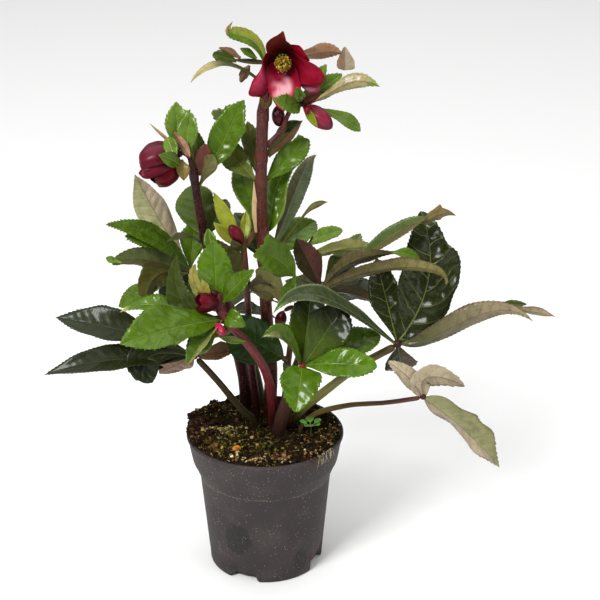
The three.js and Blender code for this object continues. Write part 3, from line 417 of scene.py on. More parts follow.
def blade(sheet, root, tip, width, face, look, arch=(6, 6), sway=0, inner=None, fold=0.28, twist=0, wave=0.06,
          widest=0.52, full=1, neck=1.3, hook=0, ragged=0.09, teeth=1.0, pitch=3.1, depth=1.1, lobes=(), pucker=0.34,
          rib=1.1, vein_gap=VEIN_GAP, thick=0.5, rows=None, columns=None, tip_look=None, half=None, edge=None):
    """One leaf blade or bract as a closed sheet.

    The midrib is a cubic curve from root to tip. Its inner control points stand at the shares BEND of the
    chord, raised by arch and moved aside by sway, or are given as inner; hook bends its last part up.
    At share u of it the blade spreads sideways by v reach(u), turned by twist u, and rises by
    |v|^1.25 reach sin(fold), plus a wave width sin(9u + 2v) v^2 and two small ripples. reach(u) is
    hypot(width / 2 outline(u), neck (1 - u) + 0.12 u), and the margin wanders by ragged. Teeth a pitch apart
    point to the tip and stand out by depth teeth |v|^10, lobes (share, side, size) by size |v|^4. The surface
    bulges by pucker between side veins that leave the midrib a vein_gap apart. Each side stands half of thick
    off the middle, and the underside hangs lower by rib along the midrib.
    tip_look is a colour that comes in between two shares, half a colour on the left (-1) or right (1) side,
    edge the colour of the rim.
    """
    start, end = vec(*root), vec(*tip)
    chord = end - start
    length = np.linalg.norm(chord)
    along = chord / length
    up = vec(*(FACES[face] if isinstance(face, str) else face))
    up = unit(up - along * dot(up, along))
    lean = np.cross(along, up)
    sways = np.broadcast_to(sway, 2)
    free = [start + along * at * length + up * rise + lean * aside for at, rise, aside in zip(BEND, arch, sways)]
    inner = np.array(inner or free, dtype=float)
    count = max(4, int(length / pitch)) if teeth else 0
    rows = rows or (count * 4 + 1 if teeth else max(14, int(length / 1.7)))
    columns = columns or int(np.clip(width / 1.5, 8, 22)) // 2 * 2 + 1
    seed = float(np.sum(end) * 0.37 + width)
    u = np.linspace(0, 1, rows)[:, None]
    s = np.linspace(-1, 1, columns)[None]
    v = np.sign(s) * np.abs(s) ** 1.3
    w = 1 - u
    centre = w**3 * start + 3 * w * w * u * inner[0] + 3 * w * u * u * inner[1] + u**3 * end
    forward = unit(w * w * (inner[0] - start) + 2 * w * u * (inner[1] - inner[0]) + u * u * (end - inner[1]))
    normal = unit(up - forward * dot(up, forward))
    centre = centre + up * (hook * np.clip(u - 0.72, 0, None) ** 2 / 0.078 * (1 - u**8))
    spin = twist * u
    normal = normal * np.cos(spin) + np.cross(forward, normal) * np.sin(spin)
    across = np.cross(forward, normal)
    shape = outline(u, widest, full)
    margin_noise = noise(stacked(u * length, np.sign(v) * 40, seed * 7), 11, 6)
    shape = shape * (1 + ragged * margin_noise * np.clip(3 * np.abs(v), 0, 1))
    reach = np.hypot(width / 2 * shape, neck * w + 0.12 * u)
    step = np.mod(u * count + 1e-6, 1.0)
    varied = 0.6 + 0.8 * scatter(np.floor(u * count + 1e-6) * 7.7 + seed)
    size = ease(0.1, 0.3, u) * (1 - ease(0.94, 1.0, u)) * varied
    tooth = teeth * depth * min(1.0, width / 16) * step * size * np.abs(v) ** 10
    for at, side, size in lobes:
        tooth = tooth + size * np.exp(-(((u - at) / 0.06) ** 2)) * (np.sign(v) == side) * np.abs(v) ** 4
    spread = v * reach + np.sign(v) * tooth * 0.75
    off = np.abs(spread)
    flat = stacked(u * length, spread, seed * 7)
    phase = (u * length - 0.55 * off - 0.016 * off * off) / vein_gap + 0.26 * noise(flat, 14) + 0.08 * noise(flat, 5)
    swell = 0.6 * np.cos(math.tau * (phase + 0.5 * (v > 0))) + noise(flat, 6.5, 2) + 0.6 * noise(flat, 3.4, 4)
    bulge = pucker * min(1.6, width / 20) * swell * np.clip(5 * np.abs(v) * (1 - np.abs(v)), 0, 1) * shape
    ripple = wave * width * shape * v * v * np.sin(9 * u + 2 * v + 0.3 * math.sin(seed))
    rise = np.abs(v) ** 1.25 * reach * math.sin(fold) + ripple - bulge
    rise = rise + 0.02 * width * shape * np.abs(v) * np.sin(23 * u + 5 * v + seed)
    rise = rise + 0.05 * width * shape * np.abs(v) ** 0.7 * noise(flat, 15, 9)
    body = (
        centre[:, None]
        + across[:, None] * (spread * math.cos(fold))[..., None]
        + normal[:, None] * rise[..., None]
        + forward[:, None] * (tooth * 0.8)[..., None]
    )
    stand = (thick / 2) * (1 - 0.6 * np.abs(v) ** 4) * (1 - 0.4 * u)
    keel = rib * (0.25 + w**1.5) * np.exp(-((spread / (0.5 + 0.8 * w)) ** 2))
    top = body + normal[:, None] * (stand - 0.25 * rib * np.exp(-((spread / 0.6) ** 2)) * shape)[..., None]
    under = body - normal[:, None] * (stand + keel)[..., None]
    place = stacked(u * length, spread, u)
    margin = np.broadcast_to(np.abs(v), (rows, columns))
    codes, show, show_under, rough = LOOKS[look]
    upper, lower, vein, vein_under = (paint(code) for code in codes.split())
    shade = 1 + 0.16 * noise(np.stack([body, body - 40]), 21, seed)[..., None] + 0.1 * (scatter(seed) - 0.5)
    tint = np.stack([np.broadcast_to(side, body.shape) for side in (upper, lower)]) * shade
    if tip_look:
        code, low, high = tip_look
        tint = mix(tint, paint(code) * shade, ease(low, high, u)[None, ..., None])
    if half:
        tint = mix(tint, paint(half[0]) * shade, 0.85 * ease(-0.1, 0.1, v * half[1])[None, ..., None])
    if edge:
        tint = mix(tint, paint(edge), 0.7 * ease(0.88, 0.99, np.abs(v))[None, ..., None])
    veins = [np.broadcast_to(four, (rows, columns, 4)) for four in ([*vein, show], [*vein_under, show_under])]
    skin(
        sheet,
        top,
        under,
        place=np.stack([place, place]),
        look=stacked(margin, np.stack([np.ones_like(margin), np.zeros_like(margin)]), rough),
        tint=np.concatenate([tint, np.broadcast_to(phase[None, ..., None], (2, rows, columns, 1))], -1),
        vein=np.stack(veins),
    )


# ---- shaders


class Value:
    """A node socket to reckon with: each operator or method adds the Math node that does it."""

    def __init__(self, shader, socket):
        self.shader = shader
        self.socket = socket

    def maths(self, operation, *others):
        return self.shader.node("ShaderNodeMath", {"operation": operation}, [self, *others])

    def __rsub__(self, other):
        return self.shader.node("ShaderNodeMath", {"operation": "SUBTRACT"}, [other, self])

    __add__ = __radd__ = partialmethod(maths, "ADD")
    __sub__ = partialmethod(maths, "SUBTRACT")
    __mul__ = __rmul__ = partialmethod(maths, "MULTIPLY")
    __truediv__ = partialmethod(maths, "DIVIDE")
    __gt__ = partialmethod(maths, "GREATER_THAN")
    __abs__ = partialmethod(maths, "ABSOLUTE")
    top = partialmethod(maths, "MAXIMUM")
    fraction = partialmethod(maths, "FRACT")

    def limit(self):
        return self.shader.node("ShaderNodeClamp", {}, [self])

    def between(self, low, high):
        """0 at low, 1 at high, eased; low may be the larger."""
        settings = {"interpolation_type": "SMOOTHSTEP"}
        if low > high:
            return 1 - self.between(high, low)
        return self.shader.node("ShaderNodeMapRange", settings, {"Value": self, "From Min": low, "From Max": high})


class Shader:
    """A material in the making, with its finish set on one Principled node."""

    def __init__(self, name, **constants):
        self.material = bpy.data.materials.new(name)
        self.material.use_nodes = True
        self.tree = self.material.node_tree
        self.finish = self.tree.nodes["Principled BSDF"]
        for socket, value in constants.items():
            self.finish.inputs[socket.replace("_", " ")].default_value = value
        coordinates = self.node("ShaderNodeTexCoord", {}, {}, "Object")
        self.mm = self.scaled(coordinates, 1 / MM)

    def node(self, kind, settings, sockets, output=0):
        made = self.tree.nodes.new(kind)
        for name, value in settings.items():
            setattr(made, name, value)
        pairs = sockets.items() if isinstance(sockets, dict) else enumerate(sockets)
        for name, value in pairs:
            if isinstance(value, Value):
                self.tree.links.new(value.socket, made.inputs[name])
            else:
                made.inputs[name].default_value = value
        return Value(self, made.outputs[output])

    def scaled(self, vector, factor):
        return self.node("ShaderNodeVectorMath", {"operation": "SCALE"}, {"Vector": vector, "Scale": factor})

    def stretched(self, vector, factors):
        return self.node("ShaderNodeVectorMath", {"operation": "MULTIPLY"}, [vector, factors])

    def layer(self, name, output="Vector"):
        return self.node("ShaderNodeAttribute", {"attribute_name": name}, {}, output)

    def parts(self, vector):
        return [self.node("ShaderNodeSeparateXYZ", {}, [vector], axis) for axis in "XYZ"]

    def cloud(self, vector, scale, detail=3.0, roughness=0.55):
        sockets = {"Vector": vector, "Scale": scale, "Detail": detail, "Roughness": roughness}
        return self.node("ShaderNodeTexNoise", {}, sockets, "Fac")

    def cells(self, vector, scale, feature="F1"):
        return self.node("ShaderNodeTexVoronoi", {"feature": feature}, {"Vector": vector, "Scale": scale}, "Distance")

    def blend(self, first, second, share):
        """Mixes two colours; the second may be a code."""
        if isinstance(second, str):
            second = rgba(second)
        return self.node("ShaderNodeMix", {"data_type": "RGBA"}, {0: share, 6: first, 7: second}, 2)

    def done(self, colour, roughness, height, depth, strength=0.6, **others):
        """Links what changes over the surface; height is in units of depth, in millimetres."""
        bump = self.node("ShaderNodeBump", {}, {"Height": height, "Strength": strength, "Distance": depth * MM})
        links = {"Base Color": colour, "Roughness": roughness, "Normal": bump, **others}
        for name, value in links.items():
            self.tree.links.new(value.socket, self.finish.inputs[name])
        return self.material


def rgba(code):
    return (*paint(code), 1.0)


def leaf_material(name, vein_gap, net, depth, gloss):
    """Veins from the distance to the midrib and to side veins that leave it at a slant, a fine net between
    them, mottling, and relief that is sunk on the upper side and raised on the underside."""
    shader = Shader(name, Coat_Weight=gloss, Coat_Roughness=0.16, Specular_IOR_Level=0.2)
    across, share = shader.parts(shader.layer("place"))[1:]
    margin, side, rough = shader.parts(shader.layer("look"))
    off = abs(across)
    midrib = (1 - off / (1.05 - share * 0.8)).limit()
    run = shader.layer("tint", "Alpha") + (across > 0) * 0.5
    width = 0.34 - margin * 0.16
    branch = (1 - abs(run.fraction() - 0.5) * vein_gap / width).limit() * (1 - margin * margin * 0.6)
    forks = (1 - abs((run * 2 + margin * 0.5).fraction() - 0.5) * vein_gap * 0.5 / 0.22).limit()
    branch = branch.top(forks * margin.between(0.3, 0.6) * 0.35)
    mesh = shader.cells(shader.mm, 0.4, "DISTANCE_TO_EDGE").between(0.07, 0.0) * net
    veins = midrib.top(branch).top(mesh)
    strength = shader.layer("vein", "Alpha")
    colour = shader.blend(shader.layer("tint", "Color"), shader.layer("vein", "Color"), veins * strength)
    cloud = shader.cloud(shader.mm, 0.16, 4.0)
    fine = shader.cloud(shader.mm, 2.4, 2.0)
    colour = shader.blend(colour, "18220a", cloud.between(0.42, 0.74) * 0.3)
    colour = shader.blend(colour, "c8cc80", fine.between(0.55, 0.8) * 0.05)
    height = (midrib * 1.2 + branch * 0.9 + mesh * 0.6) * (1 - side * 2) + fine * 0.25 + cloud * 0.5
    return shader.done(colour, rough + (cloud - 0.5) * 0.14 + veins * 0.06, height, depth)


def stem_material(name, speck, amount):
    """Long fine streaks along the stem and small raised specks."""
    shader = Shader(name, Coat_Weight=0.12, Coat_Roughness=0.3, Specular_IOR_Level=0.2)
    rough = shader.parts(shader.layer("look"))[2]
    streaks = shader.cloud(shader.stretched(shader.layer("place"), (0.06, 1.3, 0.0)), 1.0, 4.0)
    dots = shader.cells(shader.mm, 1.3).between(0.36, 0.18) * shader.cloud(shader.mm, 0.2).between(0.3, 0.5)
    patch = shader.cloud(shader.mm, 0.07, 3.0)
    colour = shader.blend(shader.layer("tint", "Color"), "1d0f10", streaks.between(0.5, 0.8) * 0.45)
    colour = shader.blend(colour, speck, dots * amount)
    colour = shader.blend(colour, "7c6444", patch.between(0.55, 0.8) * 0.12)
    height = dots * 0.8 + streaks * 0.7
    return shader.done(colour, rough + (streaks - 0.5) * 0.2, height, 0.25)


def sepal_material(name, vein, show, gloss):
    """Fine veins that fan out along the sepal, cloudy depth of colour and a soft sheen."""
    shader = Shader(name, Coat_Weight=gloss, Coat_Roughness=0.3, Specular_IOR_Level=0.12)
    rough = shader.parts(shader.layer("look"))[2]
    lines = shader.cloud(shader.stretched(shader.layer("place"), (0.045, 0.75, 0.0)), 1.0, 5.0, 0.65)
    cloud = shader.cloud(shader.mm, 0.13, 3.0)
    colour = shader.blend(shader.layer("tint", "Color"), vein, lines.between(0.52, 0.74) * show)
    colour = shader.blend(colour, "e08098", cloud.between(0.55, 0.85) * 0.08)
    return shader.done(colour, rough + (cloud - 0.5) * 0.18, lines + cloud * 0.5, 0.3, 0.5)


def plain_material(name, grain, depth, speck="d8c890", amount=0.2):
    """The piece's own tint with a fine grain and a few light specks."""
    shader = Shader(name, Specular_IOR_Level=0.2)
    rough = shader.parts(shader.layer("look"))[2]
    fine = shader.cloud(shader.mm, grain, 4.0, 0.7)
    coarse = shader.cloud(shader.mm, grain * 0.2, 3.0)
    colour = shader.blend(shader.layer("tint", "Color"), "120c06", coarse.between(0.4, 0.66) * 0.6)
    colour = shader.blend(colour, speck, fine.between(0.58, 0.74) * amount)
    return shader.done(colour, rough + (fine - 0.5) * 0.2, fine + coarse, depth, 0.8)


def pot_material(plastic):
    """Moulded plastic: a dusty film, pale specks, two dark, glossier patches, a smear of peat, scuffs and a dust
    line.

    A stain is where the squeezed distance to its middle, plus a wobble, is under its size.
    """
    shader = Shader("pot_plastic", Specular_IOR_Level=0.45)
    height = shader.parts(shader.mm)[2]
    film = shader.cloud(shader.mm, 0.035, 4.0)
    fine = shader.cloud(shader.mm, 0.9, 3.0)
    specks = shader.cells(shader.mm, 0.34).between(0.13, 0.08) * shader.cloud(shader.mm, 0.06).between(0.3, 0.5)
    tiny = shader.cells(shader.mm, 0.8).between(0.2, 0.12) * film.between(0.4, 0.65)
    wobble = (shader.cloud(shader.mm, 0.11, 3.0) - 0.5) * 12
    spots = []
    for middle, squeeze, size in STAINS:
        centre = tuple(a * b for a, b in zip(middle, squeeze))
        ends = [shader.stretched(shader.mm, squeeze), centre]
        reach = shader.node("ShaderNodeVectorMath", {"operation": "DISTANCE"}, ends, "Value")
        spots.append((reach + wobble * size / 11).between(size + 2, size))
    # Two patches are darker and a little glossier than the rest of the plastic.
    dark_patches = spots[0].top(spots[1] * 0.8)
    ledge = abs(height - DUST_LINE).between(0.9, 0.2) * fine.between(0.45, 0.62) * film.between(0.3, 0.5)
    scuffs = shader.cloud(shader.stretched(shader.mm, (0.5, 0.5, 0.06)), 1.0, 2.0).between(0.62, 0.74)
    base = (*plastic, 1.0)
    colour = shader.blend(base, "6d6461", film.between(0.35, 0.75) * 0.2 * (1 - dark_patches))
    colour = shader.blend(colour, "1c1a19", dark_patches * 0.68)
    colour = shader.blend(colour, "cdbd9c", specks.top(tiny * 0.5).top(ledge * 0.6) * 0.7)
    colour = shader.blend(colour, "57504d", scuffs * 0.2)
    colour = shader.blend(colour, "4a2a1a", spots[2] * fine.between(0.4, 0.5))
    rough = 0.5 + film * 0.22 - dark_patches * 0.12 + fine * 0.08
    return shader.done(colour, rough, fine * 0.3 + specks + scuffs * 0.3, 0.12, 0.5)


# ---- pot and soil

BAND_FOOT = (60, 94)  # radius and height of the lower edge of the upright band
BODY_TOP = (54.6, 82)  # radius and height
FOOT_RADIUS = 47.5
WALL = 1.8
LIP_BAND = 2.4
RECESSES = 4
RECESS_TURN = -22  # degrees from the front to the first drainage recess
RECESS_WIDTH = 27
RECESS_SLANT = 5
RECESS_DEPTH = 4.2
RECESS_LIFT = 3.2  # how far the foot's edge is raised at a recess
# Middle, squeeze along each axis and radius: two dark patches and a smear of peat on the body.
STAINS = (
    ((-22.0, -46.0, 41.0), (1.0, 0.6, 0.66), 9.0),
    ((29.0, -39.0, 17.0), (1.0, 0.6, 0.6), 5.0),
    ((39.0, -29.0, 14.0), (1.0, 0.8, 1.0), 2.5),
)
DUST_LINE = 82.2  # height of the dust in the corner under the band


def recess(turn):
    """1 in the drainage recesses and 0 between them, with slanted sides RECESS_SLANT wide."""
    centred = np.mod(turn - math.radians(RECESS_TURN - 90) + math.pi / RECESSES, math.tau / RECESSES)
    distance = np.abs(centred - math.pi / RECESSES) * FOOT_RADIUS
    return 1 - ease(RECESS_WIDTH / 2 - RECESS_SLANT, RECESS_WIDTH / 2, distance)


def pot_profile(height, lip):
    """Radius and height from the middle of the foot, up the outside, over the lip and down the inside."""
    foot, (body, body_top), (band, band_foot) = FOOT_RADIUS, BODY_TOP, BAND_FOOT
    outside = [
        (0, 0), (36, 0), (45.6, 0), (foot - 0.4, 0.5), (foot, 1.8), (foot + 0.4, 8), (foot + 1.3, 18),
        (foot + 2.2, 28), (body - 0.5, body_top - 6), (body, body_top - 0.4), (body + 0.5, body_top + 0.5),
        (band - 1.2, band_foot - 2.2), (band, band_foot), (band + 0.6, band_foot + 2),
        (lip - 1.1, height - LIP_BAND - 1.5), (lip - 0.8, height - LIP_BAND - 0.5), (lip - 0.1, height - LIP_BAND),
        (lip, height - LIP_BAND + 0.5), (lip, height - 0.7), (lip - 0.4, height),
    ]
    inside = [
        (lip - WALL, height), (lip - WALL - 0.3, height - 0.6), (band - WALL, band_foot), (body - WALL, body_top),
        (foot + 2.2 - WALL, 28), (foot + 1.3 - WALL, 18), (foot - WALL, 2.6), (foot - WALL - 1, WALL), (36, WALL),
        (0, WALL),
    ]
    return np.array(outside), np.array(inside)


def turned(profile, sides, recess_height):
    """Points of a profile carried round the Z axis, drawn in and raised at the drainage recesses."""
    turn = ring_angles(sides)
    radius, height = profile[:, 0, None], profile[:, 1, None]
    here = recess(turn)[None]
    foot = ease(FOOT_RADIUS - 5, FOOT_RADIUS - 3, radius) * np.clip(1 - height / recess_height, 0, 1)
    radius = radius - RECESS_DEPTH * foot * here
    height = height + RECESS_LIFT * foot * here * (height < recess_height)
    return polar(radius, turn, height)


def lathe(sheet, grid, tint, rough):
    """A turned grid as a closed body: its first and last ring are shrunk to the axis."""
    rows, sides = grid.shape[:2]
    points = np.vstack([grid[1:-1].reshape(-1, 3), grid[0].mean(0), grid[-1].mean(0)])
    colours = np.broadcast_to(tint, points.shape) if np.ndim(tint) == 1 else tint(points)
    sheet.add(points, *barrel(rows - 2, sides), tint=colours, look=(0, 1, rough))


SOIL = {"level": 117, "crown": 2.4, "left_rise": 6, "rise_towards": (-0.75, 0.65), "bump": 1.5, "fade": 0.7}
SPILL = {"towards": (-0.9, 0.45), "reach": 0.035, "level": 115.6, "rise": 3.0, "edge_drop": 2.2}
SOIL_WALL = ((61.6, 112), (57.6, 93.5), (52.2, 81), (46.6, 24), (38, 2.3), (0, 2.3))
SOIL_WAVES = ((0.11, 0.05, 0.4), (-0.07, 0.13, 1.9), (0.21, 0.17, 4.1), (0.29, -0.23, 2.2))
SOIL_EDGE = 62.6
LIP = 65


def soil_height(x, y, depth):
    """Height of the soil: a low crown, a rise to the left and back, a sum of four waves and three noises."""
    reach = np.hypot(x, y) / LIP
    lean = (x * SOIL["rise_towards"][0] + y * SOIL["rise_towards"][1]) / LIP
    waves = sum(np.sin(a * x + b * y + shift) / (1 + i * SOIL["fade"]) for i, (a, b, shift) in enumerate(SOIL_WAVES))
    rise = np.clip(lean, 0, None) * SOIL["left_rise"] * reach
    flat = stacked(x, y, 0.0)
    rough = noise(flat, 7.5, 3) + 0.75 * noise(flat, 3.6, 5) + 0.5 * noise(flat, 1.7, 8) + 0.3 * noise(flat, 0.9, 9)
    return SOIL["level"] + SOIL["bump"] * waves + rise + SOIL["crown"] * (1 - reach) + depth * rough


PEAT = ("22160d", "2e2013", "3a2a1a", "1a110a")
CHIPS = ("6a4a2c", "8c6a3e", "c8a86c", "e4d4a4")
MOSS = ("444818", "605e22", "807a30", "a49c54")
# Heaps on the soil: middle, spread to the sides and in depth, how many lumps, their sizes and colours. Then the
# places of pale stones and piths, the colours of fibres, and the fibres that hang over the lip.
HEAPS = (
    ((15, -44), (2.6, 2.4), 46, (1.0, 2.1), ("a4845c", "c8a47c", "705440")),
    ((-29, -5), (7, 5), 100, (0.8, 2.0), ("b0a468", "8a8c44", "d8c890", "6c5a38")),
    ((-9, -53), (13, 2.5), 70, (0.7, 1.7), ("d8c090", "ecdcac", "a48860", "70583c")),
    ((56, -9), (5, 7), 56, (1.0, 2.3), ("786044", "a88c64", "443424")),
    ((39, -42), (3, 1.5), 26, (0.8, 1.6), ("b08c58", "dcbc88", "7c603c")),
    ((-38, 37), (6, 5), 64, (1.0, 2.2), ("745a44", "967a5c", "4e3a2c")),
    ((-56, 0), (6, 9), 120, (1.0, 2.4), ("584030", "4c3628", "3e2c20", "745a46")),
)
STONES = ((16, 13, 0), (32, 30, 0), (45, -18, 0), (55, 11, 0), (-21, -40, 0), (-1, -53, 0))
PITHS = ((14, -5, 0), (52, -22, 0), (33, -38, 0), (-8, -50, 0), (-40, -28, 0))
FIBRES = ("8c6a3e", "c8a86c", "5c4226", "d8c08a")
LIP_FIBRES = 24
LIP_SEAT = (63.5, 118.3)  # radius and height
LIP_CLUMPS = ((-53, "6a5238"), (-45, "b8a484"), (-38, "c8bca0"))  # angle round the lip and colour


def soil_tint(points):
    """Peat brown with mossy and rusty patches from two noises."""
    flat = points * [1, 1, 0.2]
    peat = mix(paint(PEAT[0]), paint(PEAT[2]), 0.5 + 0.5 * noise(flat, 5, 2)[:, None])
    moss = ease(0.05, 0.6, noise(flat, 17, 6) + 0.3 * noise(flat, 4, 7))[:, None]
    rust = ease(0.25, 0.7, noise(flat, 11, 12))[:, None]
    return mix(mix(peat, paint("33380f"), 0.6 * moss), paint("4a3018"), 0.5 * rust)


def ball_shape(level):
    """Points and faces of an icosahedron, split once where level is 1."""
    golden = (1 + 5**0.5) / 2
    corners = [np.roll((a, b * golden, 0), k) for k in range(3) for b in (1, -1) for a in (-1, 1)]
    points = unit(np.array(corners))
    near = np.linalg.norm(points[:, None] - points[None], axis=-1) < 1.1
    triples = [t for t in np.ndindex(12, 12, 12) if t[0] < min(t[1:]) and t[1] != t[2]]
    touching = [t for t in triples if near[t[0], t[1]] and near[t[1], t[2]] and near[t[2], t[0]]]
    faces = np.array([t for t in touching if np.linalg.det(points[list(t)]) > 0])
    if not level:
        return points, faces
    a, b, c = points[faces[:, 0]], points[faces[:, 1]], points[faces[:, 2]]
    corners = np.stack([a, b, c, unit(a + b), unit(b + c), unit(c + a)], 1)
    parts = np.array([[0, 3, 5], [3, 1, 4], [5, 4, 2], [3, 4, 5]])
    fine = (np.arange(len(faces))[:, None, None] * 6 + parts).reshape(-1, 3)
    keys, back = np.unique(np.round(corners.reshape(-1, 3), 5), axis=0, return_inverse=True)
    return unit(keys), np.reshape(back, -1)[fine]


def lumps(sheet, centres, sizes, colours, rng, level=0, squash=0.7, ragged=0.35):
    """Copies of one ball, each stretched by its own three factors, turned at random and made ragged."""
    points, faces = ball_shape(level)
    count = len(centres)
    factors = sizes[:, None] * rng.uniform([0.7, 0.6, 0.4], [1.2, 1.1, 1.0], (count, 3)) * [1, 1, squash]
    jitter = 1 + ragged * rng.uniform(-1, 1, (count, len(points), 1))
    local = points[None] * factors[:, None] * jitter
    turn = rng.uniform(0, math.tau, count)[:, None]
    tilt = rng.uniform(-0.7, 0.7, count)[:, None]
    x, y, z = local[..., 0], local[..., 1], local[..., 2]
    y, z = y * np.cos(tilt) - z * np.sin(tilt), y * np.sin(tilt) + z * np.cos(tilt)
    x, y = x * np.cos(turn) - y * np.sin(turn), x * np.sin(turn) + y * np.cos(turn)
    all_faces = (np.arange(count)[:, None, None] * len(points) + faces[None]).reshape(-1, 3)
    tints = np.repeat(colours, len(points), axis=0)
    sheet.add(stacked(x, y, z) + centres[:, None], (), all_faces, tint=tints, look=(0, 1, 0.9))


def spikes(sheet, roots, tips, width, colours):
    """Small closed three-sided leaves from root to tip, for moss."""
    forward = unit(tips - roots)
    side = unit(np.cross(forward, [0.31, 0.17, 0.93]))
    other = np.cross(forward, side)
    ring = [side, -0.5 * side + 0.87 * other, -0.5 * side - 0.87 * other]
    points = np.stack([roots + width[:, None] * r for r in ring] + [tips], 1)
    sides = np.array([[0, 1, 3], [1, 2, 3], [2, 0, 3], [2, 1, 0]])
    faces = (np.arange(len(roots))[:, None, None] * 4 + sides).reshape(-1, 3)
    sheet.add(points, (), faces, tint=np.repeat(colours, 4, axis=0), look=(0, 1, 0.8))


def settle(places, depth, lift=0.0):
    """Moves places to the soil's height plus a lift; depth is the height of the soil's lumps."""
    places[:, 2] = soil_height(places[:, 0], places[:, 1], depth) + lift
    return places


def on_soil(rng, count, reach, depth, inner=0.0):
    """Random places on the soil: evenly spread over the disc, at the soil's height."""
    radius = SOIL_EDGE * reach * np.sqrt(rng.uniform(inner, 1, count))
    turn = rng.uniform(0, math.tau, count)
    return settle(polar(radius, turn, 0.0), depth)


def heap(rng, middle, spread, count, lift, depth):
    """Random places round a middle, by a bell curve to the sides and in depth, where they are on the soil."""
    places = vec(*middle, 0) + rng.normal(0, 1, (count, 3)) * [*spread, 0]
    places = places[np.hypot(places[:, 0], places[:, 1]) < SOIL_EDGE]
    return settle(places, depth, rng.uniform(*lift, len(places)))


def choose(rng, codes, weights, count):
    """Colours picked by weight, each a little lighter or darker."""
    colours = np.array([paint(code) for code in codes])
    picked = colours[rng.choice(len(codes), count, p=np.array(weights) / sum(weights))]
    return picked * rng.uniform(0.75, 1.25, (count, 1))


def strew(sheet, rng, places, sizes, codes, weights, level=0):
    """Lumps of random size and colour at the places."""
    count = len(places)
    lumps(sheet, places, rng.uniform(*sizes, count), choose(rng, codes, weights, count), rng, level)


def soil_body(depth):
    """Rings from the middle over the lumpy top to the wall, where the edge spills on to the lip at the left and
    back, then down the wall and to the middle of the floor."""
    turn = ring_angles(220)[None]
    wander = 1 + 0.012 * noise(polar(9, turn, 0.0), 1.0, 4)
    radius = SOIL_EDGE * np.linspace(0, 1, 74)[:, None] ** 0.85 * wander
    x, y = radius * np.cos(turn), radius * np.sin(turn)
    spill = ease(0.0, 0.9, (x * SPILL["towards"][0] + y * SPILL["towards"][1]) / LIP)
    edge = ease(0.93, 1.0, radius / SOIL_EDGE)
    x, y = (axis * (1 + SPILL["reach"] * spill * edge) for axis in (x, y))
    height = soil_height(x, y, depth) - (1 - spill) * SPILL["edge_drop"] * edge
    height = np.maximum(height, np.where(edge > 0.5, SPILL["level"] + SPILL["rise"] * spill, 0))
    walls = vec(*SOIL_WALL)
    side = polar(walls[:, :1], turn, walls[:, 1:])
    return np.concatenate([stacked(x, y, height), side])[::-1]


def lay_fibres(sheet, rng, count, depth):
    """Thin bowed fibres on the soil; the first LIP_FIBRES lie in three clumps on the lip and hang over it."""
    for k in range(count):
        start = on_soil(rng, 1, 0.95, depth, 0.1)[0]
        heading = rng.uniform(0, math.tau)
        reach = rng.uniform(3, 10)
        on_lip = k < LIP_FIBRES
        if on_lip:
            angle = math.radians(rng.normal(LIP_CLUMPS[k % 3][0], 3))
            start = polar(LIP_SEAT[0], angle, LIP_SEAT[1])
            heading = angle + rng.uniform(-0.3, 0.3)
            reach = rng.uniform(1.8, 3.4)
        ahead = polar(1, heading, 0) * reach
        bow = rng.normal(0, 0.25, 3) * reach * [1, 1, 0]
        fall = vec(0, 0, rng.uniform(-0.4, 0.8))
        if on_lip:
            aside = rng.uniform(-4, 4)
            fall = vec(-aside * math.sin(heading), aside * math.cos(heading), -rng.uniform(2, 9))
        path = (start + [0, 0, 0.5], start + ahead * 0.5 + bow + [0, 0, 1.0], start + ahead + fall)
        code, girth = FIBRES[rng.integers(4)], 1.0
        if on_lip:
            code, girth = LIP_CLUMPS[k % 3][1], 1.4
        tube(sheet, path, vec(0.18, 0.15, 0.08) * girth, (code, code), 4, 1.6, rough=0.8)


# ---- stems and stalks

ROOT_DEPTH = 15

# Each stem starts at the soil's surface and goes on ROOT_DEPTH below it. A row holds its points, radii and
# colours from foot to end, then its branches, each with points and radii.
STEMS = {
    "stem_tall": (
        ((3, 18, 119), (5, 11, 165), (2, 3, 220), (0, 0, 270), (-1, -1, 330), (1, 0, 394)),
        (5.4, 4.6, 4.4, 4.6),
        ("2a1110", "421a14", "4e2219", "4c241c", "48282a"),
        (((1, 0, 386), (3, 7, 404), (8, 13, 419), (14, 10, 428)), (4.2, 3, 2.2, 1.9)),
        (((1, 0, 358), (14, 2, 371), (22, 0, 388), (31, 0, 396)), (2.2, 1.8, 1.8)),
        (((1, 0, 388), (4, 4, 396), (9, 7, 396), (12, 7, 390.4)), (1.6, 1.3)),
        (((1, 0, 380), (1.6, -0.6, 392), (4, -2, 400), (5.5, -3.5, 406)), (4.7, 4.5, 3, 0.5)),
    ),
    "stem_left": (
        ((-17, 34, 119), (-18, 31, 150), (-26, 25, 195), (-36, 18, 240), (-46, 6, 285), (-50, -2, 318),
         (-53, -10, 348)),
        (5.4, 4.6, 3.8, 3.2),
        ("2c1214", "3e1618", "3c1416", "2e1012"),
        (((-53, -10, 344), (-55, -11, 355), (-60, -13, 359)), (2, 1.7)),
    ),
    "stem_short": (
        ((-7, 27, 119), (-12, 15, 180), (-13, 5, 232), (-14, -5, 268), (-15, -8, 284)),
        (3.2, 2.7, 2.2),
        ("3c2024", "4a2226", "5a3430", "6a4034"),
    ),
    "stem_front": (
        ((6, 4, 119), (7, -8, 142), (1, -30, 187), (-13, -42, 216), (-24, -46, 231), (-33, -47, 246),
         (-33, -47, 255)),
        (4.3, 3.6, 3.3, 2.6),
        ("4a1418", "5e1c22", "6c282e", "703a3c", "5c2428"),
        (((-24, -46, 231), (-31, -51, 236), (-35, -54, 236)), (1.3, 1.1)),
    ),
    "stem_hooked": (
        ((15, 12, 119), (18, 6, 160), (22, -4, 200), (27, -8, 220), (23, -9, 231), (16, -9, 228)),
        (2.8, 2.4, 1.8),
        ("3c1a1a", "40201a", "4e3e20", "42241a"),
    ),
}
